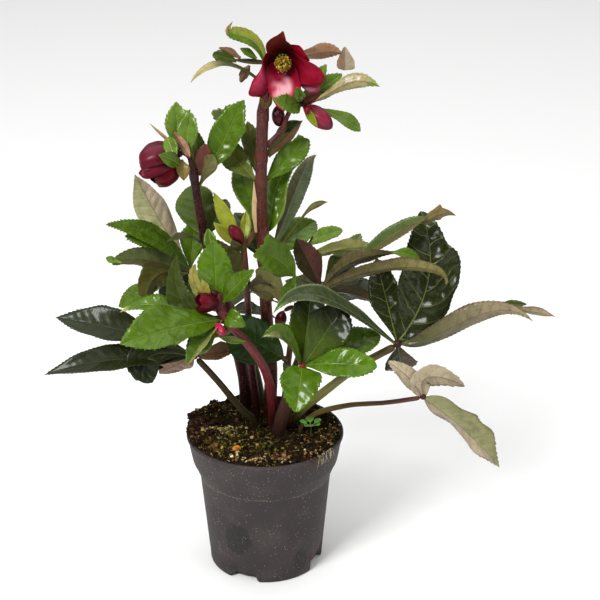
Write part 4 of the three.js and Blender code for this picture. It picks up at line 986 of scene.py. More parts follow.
STALKS = {
    "stalk_right": (
        ((23, 11, 119), (30, 8, 132), (47, 3, 150), (78, -4, 179), (105, -10, 198)),
        (4, 3.4, 3.2),
        ("4c4030", "7e7c48", "7e7c48", "78744a", "58462e"),
    ),
    "stalk_low": (
        ((29, 1, 119), (40, 5, 129), (66, -4, 142), (100, -20, 153), (125, -30, 162)),
        (2.4, 2, 1.9),
        ("3e2c1e", "8a7648", "6e5a38", "5c4434", "5a3830"),
    ),
    "stalk_left": (
        ((-7, 5, 119), (-21, -2, 140), (-39, -12, 170), (-53, -19, 191)),
        (3.2, 2.7, 2.6),
        ("3a2c20", "4a4228", "4c4428", "3c3020"),
    ),
    "stalk_front": (
        ((11, -10, 119), (17, -19, 150), (26, -36, 182), (31, -44, 195)),
        (5.6, 4, 2.4),
        ("2c1418", "48302a", "4e3c30", "5c3430"),
    ),
    "stalk_middle": (
        ((19, 1, 119), (20, -6, 150), (17, -14, 186)),
        (2.6, 2.2),
        ("4a2a26", "4c3628", "4e4a2c"),
    ),
    "stalk_upper_left": (
        ((-13, 46, 119), (-17, 44, 175), (-32, 34, 222), (-57, 14, 252)),
        (3, 2.6, 2.3),
        ("4a2e28", "5a5232", "56502e"),
    ),
    "stalk_upper_right": (
        ((27, 24, 119), (32, 20, 170), (41, 8, 220), (45, 1, 240)),
        (3.2, 2.8, 2.5),
        ("4a2a26", "54402c", "4c3028"),
    ),
    "stalk_back_left": (
        ((-3, 44, 119), (-12, 58, 155), (-34, 74, 190)),
        (3, 2.4),
        ("4a3428", "5a5434", "4c4028"),
    ),
    "stalk_back_right": (
        ((14, 38, 119), (28, 54, 160), (54, 72, 200)),
        (3, 2.4),
        ("4a3428", "5a5434", "4c4028"),
    ),
}

# ---- leaves and bracts

# A fan of blades springs from a hub: a ring that clasps a stem of that radius, or a knob on a stalk's end. Small
# stalks from the hub to the given places carry blades too. The options of a leaf are those of blade().
FANS = {}
FANS["leaf_right"] = fan("leaf_mature", (107, -10, 200), "3a201c", knob=3.6, blades=(
    # The lighter sheen colours and the pale edge of this arching blade are painted highlight.
    leaf((9, -60, 247), 18, (0.1, -0.6, 1), "sheen", inner=((72, -30, 233), (33, -50, 281)), widest=0.5,
         edge="8a9468", tip_look=("4c6812", 0.86, 0.93)),
    leaf((91, 30, 259), 26, (-0.2, -1, 0.35), "dark", (0, 6), widest=0.55, vein_gap=13, pucker=0.6),
    leaf((125, 25, 300), 47, (0, -1, 0.25), "dark", (4, 8), sway=20, widest=0.5, full=0.7, fold=0.15, rib=1.6,
         vein_gap=15, pucker=0.8, ragged=0.1, lobes=((0.78, 1, -5), (0.86, 1, -3), (0.3, 1, 3))),
    leaf((210, -30, 228), 21, (0, 1, 0.2), "pink", inner=((136, -14, 194), (176, -24, 258)), edge="4a3024", fold=0.4,
         widest=0.46, tip_look=("4e502c", 0.8, 0.15)),
    leaf((227, -30, 232), 9, (0, 1, 0.4), "pink", (2, 2), root=(191, -26, 237), teeth=0.5, edge="8c4a50"),
    leaf((206, -22, 239), 8, (0, -0.5, 0.8), "green", (2, 2), root=(182, -22, 236), teeth=1.2),
    leaf((113, 6, 171), 26, (-0.1, -1, 0.3), "dark", (2, 2), widest=0.6, full=0.8, half=("5c4c40", -1)),
))
FANS["leaf_low"] = fan("leaf_bronze", (127, -30, 163), "4a2c26", knob=2.6, blades=(
    leaf((99, -22, 190), 15, (0.1, 1, 0), "shell", (0, 0), sway=(-4, -3), widest=0.42, full=0.8),
    leaf((161, -20, 167), 21, (0, 1, 0.1), "shell", inner=((117, -26, 182), (139, -24, 183)), widest=0.36, full=0.7,
         fold=0.15),
    leaf((187, -55, 113), 34, (0.5, 0.8, 0.3), "shell", widest=0.42, full=0.85, wave=0.12, edge="6a5a3c",
         half=("80845a", 1), lobes=((0.42, 1, 4),)),
))
FANS["leaf_left"] = fan("leaf_mature", (-55, -20, 194), "3c2c20", knob=3, blades=(
    leaf((-164, -15, 225), 30, (0, -0.5, 0.85), "deep", (15, 6), widest=0.6, pucker=0.12),
    leaf((-170, -45, 189), 26, (0, -0.5, 0.85), "deep", (8, 14), widest=0.46, pucker=0.12),
    leaf((-87, -38, 179), 29, (0, -0.8, 0.6), "deep", inner=((-77, -26, 202), (-104, -36, 206)), widest=0.7,
         full=0.7),
    leaf((-88, 20, 160), 24, (0, 1, 0.2), "rose", (0, 0), full=0.85),
    leaf((-23, 18, 182), 18, (0.1, 1, 0), "rose", (0, 0)),
))
FANS["leaf_front"] = fan("leaf_young", (31, -45, 197), "8a3428", knob=2.8, blades=(
    leaf((26, -76, 172), 32, (0, -1, 0.8), "fresh", (7, 4), widest=0.36, full=0.8, teeth=1.4, pucker=0.25),
    leaf((88, -60, 203), 25, "slope", "fresh", (7, 5), widest=0.6, full=0.8, teeth=1.3),
    # These two leaves darken towards their tips: painted shade where they lie behind the leaves in front.
    leaf((63, -30, 242), 34, (0.15, -1, 0.4), "dusk", (5, 4), widest=0.62, full=0.8, tip_look=("1a2408", 0.3, 0.75),
         pucker=0.08),
    leaf((38, -12, 247), 32, (0.2, -1, 0.3), "dusk", (-2, 0), widest=0.55, full=0.8, tip_look=("18220a", 0.35, 0.75),
         pucker=0.08),
    leaf((0, -62, 228), 17, (0.3, -0.6, 0.8), "bright", inner=((23, -50, 211), (18, -60, 243)), half=("6c7048", -1),
         fold=0.5),
    leaf((93, -14, 209), 28, (0, -0.6, 0.8), "bright", (5, 5), widest=0.6, full=0.8, teeth=1.4),
))
FANS["leaf_middle"] = fan("leaf_mature", (17, -15, 189), "4a3a26", knob=2.6, blades=(
    leaf((-32, 0, 213), 40, (0, -1, 0.45), "green", (3, 3), widest=0.5, full=0.8, tip_look=("2c4a16", -0.3, 0.5)),
))
FANS["leaf_upper_left"] = fan("leaf_bronze", (-59, 12, 254), "5a4a30", knob=2.8, blades=(
    leaf((-118, -30, 307), 18, "slope", "bright", inner=((-72, -2, 285), (-101, -22, 306)), teeth=1.4, widest=0.42,
         full=1.1),
    leaf((-57, 50, 284), 21, "slope", "bright", (0, 2), widest=0.58),
    leaf((-102, 30, 329), 27, (-0.6, 0.9, 0.1), "shell", (4, 8), widest=0.6, full=1.1, teeth=0.3, half=("92946a", 1)),
    leaf((-116, -20, 271), 22, (0, 1, 0.35), "sage", inner=((-81, -6, 268), (-102, -16, 281)), full=0.65,
         edge="3c3018", half=("5c6a3c", -1)),
    leaf((-121, -20, 277), 6, (0, -1, 0.3), "soft", (0, 0), root=(-109, -20, 273), widest=0.65, teeth=0),
    leaf((-105, -22, 295), 14, (0, -0.8, 0.6), "bright", inner=((-75, -6, 287), (-93, -16, 294)), teeth=2.4,
         widest=0.62),
    leaf((-92, -12, 236), 26, (0, 1, 0.2), "olive", inner=((-75, 0, 261), (-93, -8, 261)), full=0.7, rib=1.6),
    leaf((-119, 20, 220), 18, "slope", "soft", (4, 4), widest=0.7),
    leaf((-84, 58, 208), 24, (0, -1, 0.3), "shade", (2, 4), widest=0.58),
))
FANS["leaf_upper_right"] = fan("leaf_bronze", (46, 0, 242), "4a3028", knob=3, blades=(
    leaf((128, -2, 304), 14, (-0.2, -0.9, 0.6), "silver", inner=((65, 0, 259), (101, 0, 294)), widest=0.72, fold=0.5,
         half=("5e5434", 1)),
    leaf((151, 8, 302), 12, (0, 0.9, 0.3), "olive", root=(122, -2, 300), inner=((129, 0, 299), (137, 4, 309)),
         widest=0.5, teeth=0, lobes=((0.6, 1, 4), (0.62, -1, 2)), tip_look=("7a6c44", 0.0, 0.4)),
    leaf((105, -14, 279), 14, (0, 0.9, 0.4), "maroon", inner=((57, -6, 268), (80, -12, 277)), widest=0.5, neck=2,
         edge="4a2a22"),
    leaf((122, -16, 275), 10, (0, -0.6, 0.8), "bright", (3, 3), root=(100, -14, 279), widest=0.55),
    leaf((139, -50, 266), 16, (0, 1, 0.5), "maroon", inner=((77, -20, 273), (144, -40, 284)), edge="4a2a22",
         widest=0.45, full=0.8, tip_look=("86804e", 0.2, 0.8)),
    leaf((26, 8, 283), 22, (0.1, 1, 0.1), "bronze", (2, 2), widest=0.55, half=("583630", -1)),
    leaf((80, 70, 266), 20, "slope", "silver", (-8, -2), widest=0.6),
    leaf((93, 20, 223), 15, "away_top", "bronze", (6, 4), tip_look=("807434", 0.6, 0.95)),
    leaf((71, 34, 254), 30, (0, -1, 0.5), "green", (2, 2), widest=0.6),
), stalked={
    (25, -24, 263): (
        leaf((-6, -50, 289), 26, (0.1, -1, 0.5), "bright", inner=((18, -30, 277), (5, -44, 292)), widest=0.5,
             teeth=1.6, lobes=((0.72, 1, 7), (0.72, -1, 2))),
        leaf((17, -26, 241), 12, "front", "bright", (1, 2), twist=0.6),
    ),
    (40, 15, 266): (
        leaf((90, 28, 269), 17, (0, 0.9, 0.5), "pale", (4, 4), widest=0.4, full=0.8, edge="8c7a4c"),
    ),
    (34, 20, 272): (
        leaf((63, 26, 284), 14, (0.1, -0.6, 0.8), "soft", (6, 4), widest=0.6, full=0.8),
    ),
})
FANS["leaf_back_left"] = fan("leaf_mature", (-35, 75, 192), "4a3a28", knob=2.8, blades=(
    leaf((-96, 98, 190), 26, "top", "green", (8, 8)),
    leaf((-74, 130, 180), 27, "top", "dark", (10, 10)),
    leaf((-12, 136, 186), 26, (0, 0.3, 1), "green", (10, 10)),
    leaf((8, 100, 176), 22, "top", "dark", (7, 7)),
    leaf((-78, 82, 228), 22, "slope", "green", (4, 4)),
))
FANS["leaf_back_right"] = fan("leaf_mature", (55, 73, 202), "4a3a28", knob=2.8, blades=(
    leaf((112, 92, 206), 26, "top", "dark", (8, 8)),
    leaf((98, 134, 196), 26, "top", "green", (10, 10)),
    leaf((56, 144, 190), 26, (0, 0.3, 1), "dark", (10, 10)),
    leaf((16, 122, 204), 23, "top", "green", (7, 7)),
))
FANS["bracts_front_low"] = fan("leaf_young", (-29, -47, 239), "7c3a3c", axis=(-0.6, -0.1, 0.8), ring=3, blades=(
    leaf((-104, -86, 233), 38, (0, -0.55, 0.85), "bright", (5, 5), full=0.85, teeth=1.4, ragged=0.14,
         lobes=((0.5, -1, 3), (0.62, 1, 3))),
    leaf((-55, -90, 217), 20, (-0.25, -0.6, 0.8), "bright", (1, 3), widest=0.55, half=("a09c60", -1), fold=0.75),
    leaf((-51, -40, 205), 19, "slope", "bright", (5, 5)),
    leaf((-12, -64, 238), 15, (-0.3, -0.8, 0.6), "bright", (8, 8)),
    leaf((-65, -27, 282), 21, (-0.2, -1, 0.2), "green", inner=((-49, -44, 225), (-74, -34, 249)), widest=0.56),
    leaf((-110, -36, 238), 16, (0, -0.4, 1), "fresh", inner=((-56, -42, 232), (-80, -36, 256)), teeth=1.6, widest=0.6,
         tip_look=("a8a868", 0.9, 0.96)),
    leaf((-33, -54, 225), 6, (0, -1, 0.3), "bright", (2, 2), root=(-13, -47, 218), teeth=0.4, edge="a07868"),
    leaf((-40, -42, 219), 9, (0, 1, 0.2), "rose", (0, 0), root=(-19, -46, 231), teeth=0.4),
))
FANS["bracts_front_high"] = fan("leaf_young", (-33, -47, 251), "6a3034", axis=(0, 0, 1), ring=3, blades=(
    leaf((-36, -40, 298), 27, (0, -1, 0.2), "fresh", (0, -2), full=0.85),
    leaf((-41, -30, 304), 10, (0, -1, 0.3), "bright", (0, 0), root=(-36, -40, 286), teeth=1.4),
    leaf((-5, -60, 282), 17, (-0.3, -0.8, 0.6), "bright", (4, 4)),
    leaf((-50, -42, 280), 15, (0.4, 0.8, 0), "blotch", inner=((-43, -46, 254), (-57, -44, 266)), widest=0.5),
))
FANS["bracts_short_top"] = fan("bract_lime", (-15, -7, 280), "6a5030", axis=(0, -0.2, 1), ring=2.2, blades=(
    leaf((-38, 2, 323), 12.5, "front", "lime", (0, 0), teeth=0.3),
    leaf((-38, -6, 301), 9.5, "front", "lime", (-3, 0), teeth=0.3),
    leaf((-13, 12, 305), 9.5, "front", "lime", (0, 0), teeth=0.3),
    leaf((-3, 4, 292), 9, (-0.6, 0.7, 0.2), "husk", (0, 0), teeth=0.3),
    leaf((-23, -19, 291), 10, (0.3, 1, 0.2), "olive", (-3, -2), teeth=0.3),
))
FANS["bracts_short_low"] = fan("leaf_bronze", (-13, -1, 248), "5a4430", axis=(0, -0.25, 1), ring=2.4, blades=(
    leaf((6, -28, 258), 12, (0, 0.9, 0.45), "olive", (3, 3), half=("403818", 1)),
    leaf((13, -24, 241), 38, (0.1, 1, 0.3), "sage", inner=((-7, -12, 240), (4, -22, 259)), full=0.75, widest=0.5,
         fold=0.5),
    leaf((-39, -16, 291), 24, (0.3, 0.9, 0.3), "olive", (2, 2)),
))
FANS["bracts_left_low"] = fan("leaf_mature", (-46, 7, 283), "3a1a1e", axis=(-0.25, -0.25, 0.95), ring=3.6, blades=(
    leaf((-60, 58, 311), 33, (0, -1, 0.35), "dusk", (3, 3), full=0.85),
    leaf((-30, 40, 305), 18, "slope", "green", (5, 5)),
    leaf((-74, -18, 289), 9, "top", "olive", (7, 5)),
))
FANS["bracts_left_top"] = fan("leaf_young", (-52, -7, 338), "3c1c1e", axis=(-0.1, -0.25, 0.95), ring=3.2, blades=(
    leaf((-64, -2, 395), 18, (0, -1, 0), "soft", (0, 0), root=(-63, -12, 358), widest=0.56, teeth=1.2,
         lobes=((0.72, 1, 4),)),
    leaf((-52, -8, 388), 16, (-0.1, -1, 0), "soft", (0, 0), root=(-54, -16, 357), sway=-3, widest=0.58, full=0.9),
    leaf((-13, 4, 395), 25, (-0.2, -1, 0.2), "bright", (-4, -2), sway=(7, -1), widest=0.56, teeth=1.2, full=0.95,
         lobes=((0.66, 1, 3), (0.8, -1, 2))),
    leaf((-38, 8, 385), 10, (0, -1, 0.4), "silver", (1, 1), root=(-21, 7, 376), teeth=1.6, widest=0.6, edge="6a5840"),
    leaf((-49, 8, 369), 13, (0.1, -1, 0.2), "soft", (0, 0), widest=0.55),
    leaf((-42, -8, 364), 13, "front", "husk", (2, 2), widest=0.6, tip_look=("6c3c34", 0, 0.2)),
    leaf((-36, -16, 358), 14, (0.4, 0.8, 0.2), "sage", (0, 0), root=(-49, -4, 328), widest=0.7, teeth=0),
    leaf((-84, -6, 379), 2.4, (-0.3, 1, 0.2), "pith", (1, -1), root=(-64, -12, 362), teeth=0, hook=2, neck=0.5,
         fold=0),
    leaf((-75, -38, 364), 12, (0.2, -0.9, 0.4), "bright", (4, 4), root=(-61, -26, 353), ragged=0.02, teeth=0),
    leaf((-58, -28, 341), 11, (0.3, -0.9, 0.2), "straw", (2, 2), root=(-60, -20, 355), teeth=0),
    leaf((-63, -28, 357), 11, (0, -1, 0.2), "soft", (2, 2), root=(-70, -16, 371), teeth=0.6, widest=0.4),
    leaf((-53, -22, 357), 8, (0.1, 1, 0), "rose", (0, 0), root=(-65, -12, 374), teeth=0,
         tip_look=("a07c64", -0.1, 0)),
))
FANS["bracts_tall_low"] = fan("leaf_mature", (0, 0, 268), "5c312a", axis=(0, 0, 1), ring=4.5, blades=(
    leaf((42, 36, 343), 17, (0.3, 0.9, 0.2), "grey", inner=((21, 16, 300), (31, 30, 342)), full=1.3, fold=0.45,
         rib=1.6, tip_look=("9a8a68", 0.8, 0.88), half=("5c6848", -1)),
    leaf((50, -8, 318), 9, (-0.4, 0.7, 0.5), "olive", inner=((23, -4, 292), (33, -6, 315)), widest=0.86, teeth=0,
         tip_look=("7c7448", 0.6, 0.8)),
    leaf((42, 48, 284), 27, "slope", "bright", widest=0.55),
    leaf((-24, 46, 292), 22, "slope", "green"),
))
FANS["bracts_tall_middle"] = fan("leaf_young", (0, -0.5, 291), "5c312a", axis=(0, 0, 1), ring=4.5, blades=(
    leaf((-19, 18, 342), 21, (-0.2, -1, 0.1), "bright", (-5, -2), widest=0.66, full=0.85, edge="98a058"),
    leaf((32, 24, 349), 20, (-0.2, -1, 0.2), "bright", inner=((10, 8, 313), (4, 14, 327)), widest=0.4, full=0.85,
         wave=0.14, edge="a0a860"),
    leaf((-6.5, -3, 333), 5, (-0.4, -1, 0), "pith", (0, 0), teeth=0, fold=0.1, widest=0.4, ragged=0.02),
))
FANS["bracts_tall_high"] = fan("leaf_mature", (-1, -1, 333), "5c312a", axis=(0, 0, 1), ring=4.5, blades=(
    leaf((-33, 20, 357), 21, (0.1, -1, 0.3), "moss", (0, 4), widest=0.56),
    leaf((-12, 34, 371), 18, (0.4, -1, 0), "moss", (-4, 0), widest=0.6),
    leaf((36, 24, 359), 19, (-0.2, -1, 0.3), "bright", (0, 4), widest=0.55, full=0.8, lobes=((0.85, -1, 3),)),
))
FANS["bract_tall_side"] = fan("leaf_bronze", (-0.5, -0.5, 352), "5c312a", axis=(0, 0, 1), ring=4.6, blades=(
    leaf((31, 12, 377), 17, (-0.3, 0.9, 0.3), "rose", (2, 2), fold=0.3, neck=3, teeth=0.2, widest=0.5,
         half=("5c5c30", 1)),
    leaf((30, 9, 377), 9, (-0.3, -0.8, 0.6), "green", (1, 1), root=(14, 10, 368), fold=0.3, teeth=0.2),
    leaf((6, -2, 404), 9, (0, -1, 0.1), "husk", (0, 0), root=(2, -5, 390), teeth=0, fold=0, widest=0.4, ragged=0.02),
))
FANS["bracts_tall_top_left"] = fan("bract_lime", (3, 8, 407), "6a4648", axis=(0.15, 0.4, 0.9), ring=2.6, blades=(
    leaf((-21, 8, 453), 11, (0.2, -0.9, 0.3), "soft", root=(3, 12, 419), inner=((-2, 12, 455), (-35, 10, 436)),
         widest=0.42, tip_look=("b08c68", 0.74, 0.8), half=("94983c", 1)),
    leaf((-52, -8, 411), 9, "top", "olive", inner=((-17, 8, 424), (-39, 0, 428)), widest=0.6,
         tip_look=("a09468", 0.45, 0.75)),
    leaf((-16, 14, 432), 7, "slope", "bright", (1, 1), root=(-4, 14, 424)),
    leaf((-23, 16, 423), 4, (0, -1, 0.2), "wine", (0, 0), root=(9, 13, 421), teeth=0),
    leaf((-37, 17, 427), 9, (0, -1, 0.3), "green", (1, 2), root=(-19, 16, 422), widest=0.6, full=0.7),
    leaf((-32, 16, 432), 7, (0, 1, 0.3), "rose", (1, 1), root=(-16, 16, 424), fold=0.5),
    leaf((-16, 10, 407), 9, (0, 1, 0.3), "rose", (0, 0), root=(-9, 9, 420), fold=0.6),
))
FANS["bracts_tall_top_right"] = fan("leaf_young", (30, 0, 394), "6a3a3c", axis=(0.7, 0, 0.7), ring=2.2, blades=(
    leaf((61, 29, 425), 13, (0, 1, 0.3), "straw", root=(18, 12, 428), inner=((35, 24, 421), (47, 29, 431)),
         widest=0.6, full=0.8),
    leaf((63, 26, 431), 13, (0.3, 1, 0.2), "shell", (0, 0), root=(63, 26, 413), widest=0.2, full=0.7, neck=6,
         teeth=0.3, fold=0.5, half=("90705a", 1)),
    leaf((49, 14, 420), 10, (0.2, -1, 0.3), "soft", (2, 2), widest=0.6, lobes=((0.5, 1, 2), (0.6, -1, 2))),
    leaf((61, 17, 412), 16, (0.2, -1, 0.3), "soft", (2, 2), widest=0.5, lobes=((0.72, 1, 4),)),
    leaf((88, -9, 408), 12, (0, 1, 0), "beige", inner=((57, -2, 402), (67, -8, 420)), widest=0.66, fold=0.4,
         tip_look=("8a9a50", 0.8, 0.95)),
    leaf((75, 2, 371), 13, "slope", "soft", (0, 3), sway=-4, widest=0.74, neck=0.8),
    leaf((42, -27, 382), 6, (-0.3, -1, 0.3), "bright", (-1, 0), tip_look=("808c20", 0.2, 0.6)),
    leaf((45, -24, 406), 8, (0, -1, 0.4), "wine", (2, 2), teeth=0, tip_look=("4a2422", -0.2, 0.1)),
    leaf((9, -38, 406), 15, (0, -0.9, 0.5), "soft", inner=((25, -22, 394), (17, -36, 400)), teeth=1.5, widest=0.5,
         lobes=((0.3, 1, 6),)),
    leaf((27, -33, 413), 9, (0, -1, 0.3), "soft", (3, 3), teeth=1.4, widest=0.65),
))


def blade_root(fan, tip):
    """A blade starts in the wall of its ring, square to the stem, or just inside its knob."""
    hub = vec(*fan["hub"])
    out = vec(*tip) - hub
    if "ring" not in fan:
        return hub + unit(out) * fan["knob"] * 0.6
    axis = unit(vec(*fan["axis"]))
    return hub + unit(out - axis * dot(out, axis)) * (fan["ring"] + 0.9)


def grow_fan(sheet, fan, settings):
    """The blades of a fan from its hub, those on its small stalks, and the ring or the knob that seats them."""
    common = {
        "thick": settings.thickness / MM,
        "pitch": settings.tooth_pitch / MM,
        "depth": settings.tooth_depth / MM,
        "pucker": settings.pucker / MM,
    }
    hub, code = vec(*fan["hub"]), fan["colour"]
    for made in fan["blades"]:
        blade(sheet, **{"root": blade_root(fan, made["tip"]), **common, **made})
    for root, blades in fan.get("stalked", {}).items():
        tube(sheet, (hub, root), (1.6, 1.3), (code, "5a6030"), 12, end=0.9)
        for made in blades:
            blade(sheet, **{"root": root, **common, **made})
    if "ring" in fan:
        reach = unit(vec(*fan["axis"])) * 7
        radii = [fan["ring"] + swell for swell in (-0.6, 0.1, 0.4, 0.45, 0.1, -0.6)]
        tube(sheet, (hub - reach, hub + reach), radii, (code, code), 28, 0.8, ribs=0.02, lumps=0.15)
    else:
        knob = fan["knob"]
        ball(sheet, hub, vec(0, 0, knob), knob, (code, code), 18, knob / 7, lumps=0.2)


# ---- blooms and buds

# Each sepal is a table of rows from the seat to the tip. A row holds the left edge, the middle and the right
# edge: how far right, up and forward of the seat. Its colours are inside, outside and a lighter middle, which is
# partly the sepal's own pale centre and partly painted highlight, then how far the lighter middle shows and,
# where it isn't the default throat shade, how far the painted shade in the throat darkens.
OPEN_SEPALS = (
    (
        ((-2, 1, 0), (0, 2, -0.5), (2, 1, 0)), ((-8, 2, 6), (-1.5, 7, 2), (6, 5, 5)),
        ((-11.6, 3.5, 12), (-4, 11.5, 8), (6, 9, 12)), ((-12, 9.5, 16), (-4.5, 14, 14), (3, 12, 16)),
        ((-6, 15.2, 18), (-2, 16.5, 18), (1.9, 15.5, 18)), ((-0.4, 18.6, 19.5), (0.2, 19.2, 19.6), (0.9, 19, 19.6)),
    ),
    (
        ((0, 2, 0), (1.5, 1, -0.5), (2, 0, 0)), ((3.5, 7, 4), (6, 4, 3), (7.5, 0, 4)),
        ((5.5, 9.2, 9), (11, 5.5, 8), (14, -3, 9)), ((10.3, 9, 12), (14.6, 5, 11.5), (18.6, -3.5, 11)),
        ((12.4, 8.6, 13), (16.6, 3, 12.5), (20.4, -2.8, 12)),
    ),
    (
        ((1, 1.5, 0.5), (2, 0, 0), (1.5, -2, 0.5)), ((6, 4.5, 7), (8.5, -3, 4), (6.5, -11, 7)),
        ((13.5, -0.8, 14), (15.5, -9.5, 11), (11, -18.5, 12)), ((22, -4.4, 18), (23, -13, 17), (16.5, -20.6, 16)),
        ((28, -8.6, 19), (28, -15.5, 19.5), (23.5, -21, 18)),
        ((31.4, -13.6, 18.5), (31, -17, 18.5), (28.6, -20.6, 17.6)),
    ),
    (
        ((-2, -1, 0.5), (0, -2, 0), (2, -1, 0.5)), ((-10.5, -6, 7), (0, -9, 3.5), (9, -7, 8)),
        ((-12.2, -15, 12), (1, -18, 9), (12.5, -16, 13)), ((-11, -24, 15), (1.5, -26, 14), (13.6, -24, 15)),
        ((-7.4, -32, 17), (1.5, -33, 17), (8.6, -31.5, 16)), ((-4, -37, 16), (0.4, -38, 17), (4, -37, 16)),
        ((0.4, -39.8, 15.6), (1.2, -40.2, 15.8), (1.8, -39.8, 15.6)),
    ),
    (
        ((-1, 1.5, 0.5), (-2, 0, 0), (-1.5, -1.5, 0.5)), ((-8, 4.5, 7), (-9.5, -3, 4), (-6, -9, 4)),
        ((-13.4, 1, 12), (-13, -8, 9), (-9, -17, 7)), ((-17, -10, 15), (-14, -15, 16.5), (-8.4, -24, 9)),
        ((-22.6, -18, 17), (-17.5, -20, 19), (-12.4, -27, 12)), ((-25.6, -26, 17), (-21, -25.6, 18), (-17, -30, 15)),
        ((-25, -29, 16), (-22.8, -29.4, 16.4), (-20.6, -30, 16)),
    ),
    (
        ((10, -15, 9), (12, -17, 8), (13, -19, 8)), ((14, -22, 11), (18, -21.5, 12), (21, -19.5, 13)),
        ((18, -25.6, 11), (22.4, -25, 13.5), (27, -21, 15)), ((22, -27.8, 11), (25.6, -27, 12.5), (28.4, -23.6, 14)),
    ),
)
NODDING_SEPALS = (
    (
        ((0, 1, 0), (0, 0.5, 1), (0, -0.5, 1)), ((-7, 7.6, -3), (-6, 3, 8), (-4, -5, 8)),
        ((-15, 9.6, -4), (-15, 3, 13), (-12, -8, 13)), ((-23, 7.6, 0), (-23.5, 0, 14), (-20, -10, 14)),
        ((-28.4, 1.5, 5), (-28.6, -4, 12.5), (-26, -11.5, 13)), ((-30, -4.4, 9), (-29.6, -8, 11), (-28.6, -11.4, 12)),
    ),
    (
        ((0, -1, 0), (0, -1.5, 1), (0, -2, 0)), ((-6, -3, 7), (-5.5, -7, 7), (-3, -9.6, 5)),
        ((-14, -6, 12), (-13, -10, 12), (-9, -13.6, 10)), ((-22, -9, 13), (-21, -13, 13), (-17, -17, 12)),
        ((-28, -11.5, 12), (-26.6, -15, 14), (-23, -19, 13)),
        ((-30.6, -14.6, 12), (-29, -16.6, 13.4), (-26.6, -18.6, 13)),
    ),
    (
        ((0, -2, 1), (0, -2.5, -1), (0, -2, -2)), ((-2, -8, 6), (1.6, -11, 3), (1.6, -9, -4)),
        ((-8, -12, 9), (-3.6, -18, 6), (-1, -19, -4)), ((-14.6, -15, 10), (-11, -22.6, 7), (-8, -24.6, -3)),
        ((-18.4, -17.6, 9), (-17.6, -21.6, 6), (-15, -24.6, 0)),
    ),
    (
        ((0, 1, -1), (0, 0.5, -2), (0, -1, -2)), ((-7, 7.4, -3), (-7, 3, -10), (-6, -6, -10)),
        ((-16, 9, -4), (-17, 1, -14), (-14, -10, -12)), ((-24, 6.6, -1), (-25.6, -2, -12), (-22, -13, -9)),
        ((-28.4, 0, 4), (-29.6, -6, -5), (-27, -13, -3)),
    ),
    (
        ((0, -2, -1), (0, -1.5, -2), (0, -1, -2)), ((1.6, -8.6, -4), (-2, -10, -9), (-6, -6, -10)),
        ((-3, -18, -5), (-8, -15, -13), (-13, -9, -12)), ((-11.6, -23, -3), (-17, -18, -10), (-20, -11, -9)),
        ((-18, -22, 0), (-22, -18.6, -5), (-25, -13, -4)),
    ),
)


def tulip(base, lean, length, radius):
    """Rows of five lapping sepals round an axis: the radius is R sin(1.9 u)^0.6 at share u of the length."""
    forward = unit(vec(*lean))
    first = unit(np.cross(forward, (0.1, 0.9, 0.3)))
    second = np.cross(forward, first)
    sepals = []
    for k in range(5):
        rows = []
        for share in (0.02, 0.25, 0.5, 0.75, 0.92, 1.0):
            narrow = 1 if share < 0.9 else 0.55 if share < 1 else 0.12
            half = 0.95 * math.sin(math.pi * min(0.5, 0.9 * share + 0.2)) * narrow
            reach = radius * math.sin(1.9 * share + 0.15) ** 0.6 * (0.94 + 0.08 * (k % 2))
            middle = vec(*base) + forward * length * share * (1 - 0.04 * (k % 2))
            turns = (math.tau * k / 5 + side * half for side in (-1, 0, 1))
            rows.append([middle + reach * (first * math.cos(turn) + second * math.sin(turn)) for turn in turns])
        sepals.append(rows)
    return tuple(sepals)


VIEWPOINT = vec(29, -983, 626)  # where the camera stands
LEAN_BACK = vec(0, 0.37, 0.93)  # upwards on the plane of the sepals

# A bloom: seat, axis, nod, how far in front of the seat its heart lies, sepals and their colours.
BLOOMS = {
    "bloom_top": (
        (16, 6, 427), (0.03, -0.86, -0.3), 0.5, 90, OPEN_SEPALS,
        (
            # The hood: a browner, darker red than the other sepals, painted shade on its inside under the fold.
            ("662420", "66242a", "7c3830", 0.5, 0.35),
            ("8c0c24", "64182a", "a02040", 0.4),
            ("820a26", "7a2036", "940f38", 0.7),
            ("960e32", "8a2a44", "e8a6ae", 1.0, 0.6),
            ("7c0a26", "7a1e34", "b84868", 0.6),
            ("94405a", "94405a", "b87888", 0.8),
        ),
    ),
    "bloom_left": (
        (-62, -14, 358), (-0.8, -0.38, -0.42), 0, 9, NODDING_SEPALS,
        (("440a16", "541020", "843044", 0.6),) * 2 + (("400814", "4c040c", "700c18", 0.5),) * 3,
    ),
    "bloom_front": (
        (-36, -49, 259), (-0.9, -0.45, -0.12), 0, 9, tulip((3.5, -7.5, -1), (-1, 0.04, 0.22), 17, 7.6),
        (("40040c", "520414", "7c0c26", 0.6),) * 5,
    ),
}

BUDS = {
    "bud_right": (((33, -3, 392), (53, -14, 377.5), 7.2, "80283e"), ((33, -6, 395), (36, -12, 387), 3.0, "80142a")),
    "bud_under_bloom": (((12, 7, 390), (13, 5, 374), 5, "40060c"),),
    "bud_short": (((-15.5, -9, 285), (-25, -13, 301), 5.2, "6e1c2a"),),
    "bud_small": (((-35, -54, 236), (-28, -66, 232), 3.4, "b02850"),),
    "bud_hooked": (((15.5, -9, 228), (12, -10, 214), 4.6, "4a101a"),),
}


def bloom_frame(axis):
    """Forward along the bloom's axis, upwards, and to the right when seen from its open side."""
    forward = unit(vec(*axis))
    upward = unit(vec(0, 0, 1) - forward * forward[2])
    return forward, upward, np.cross(upward, forward)


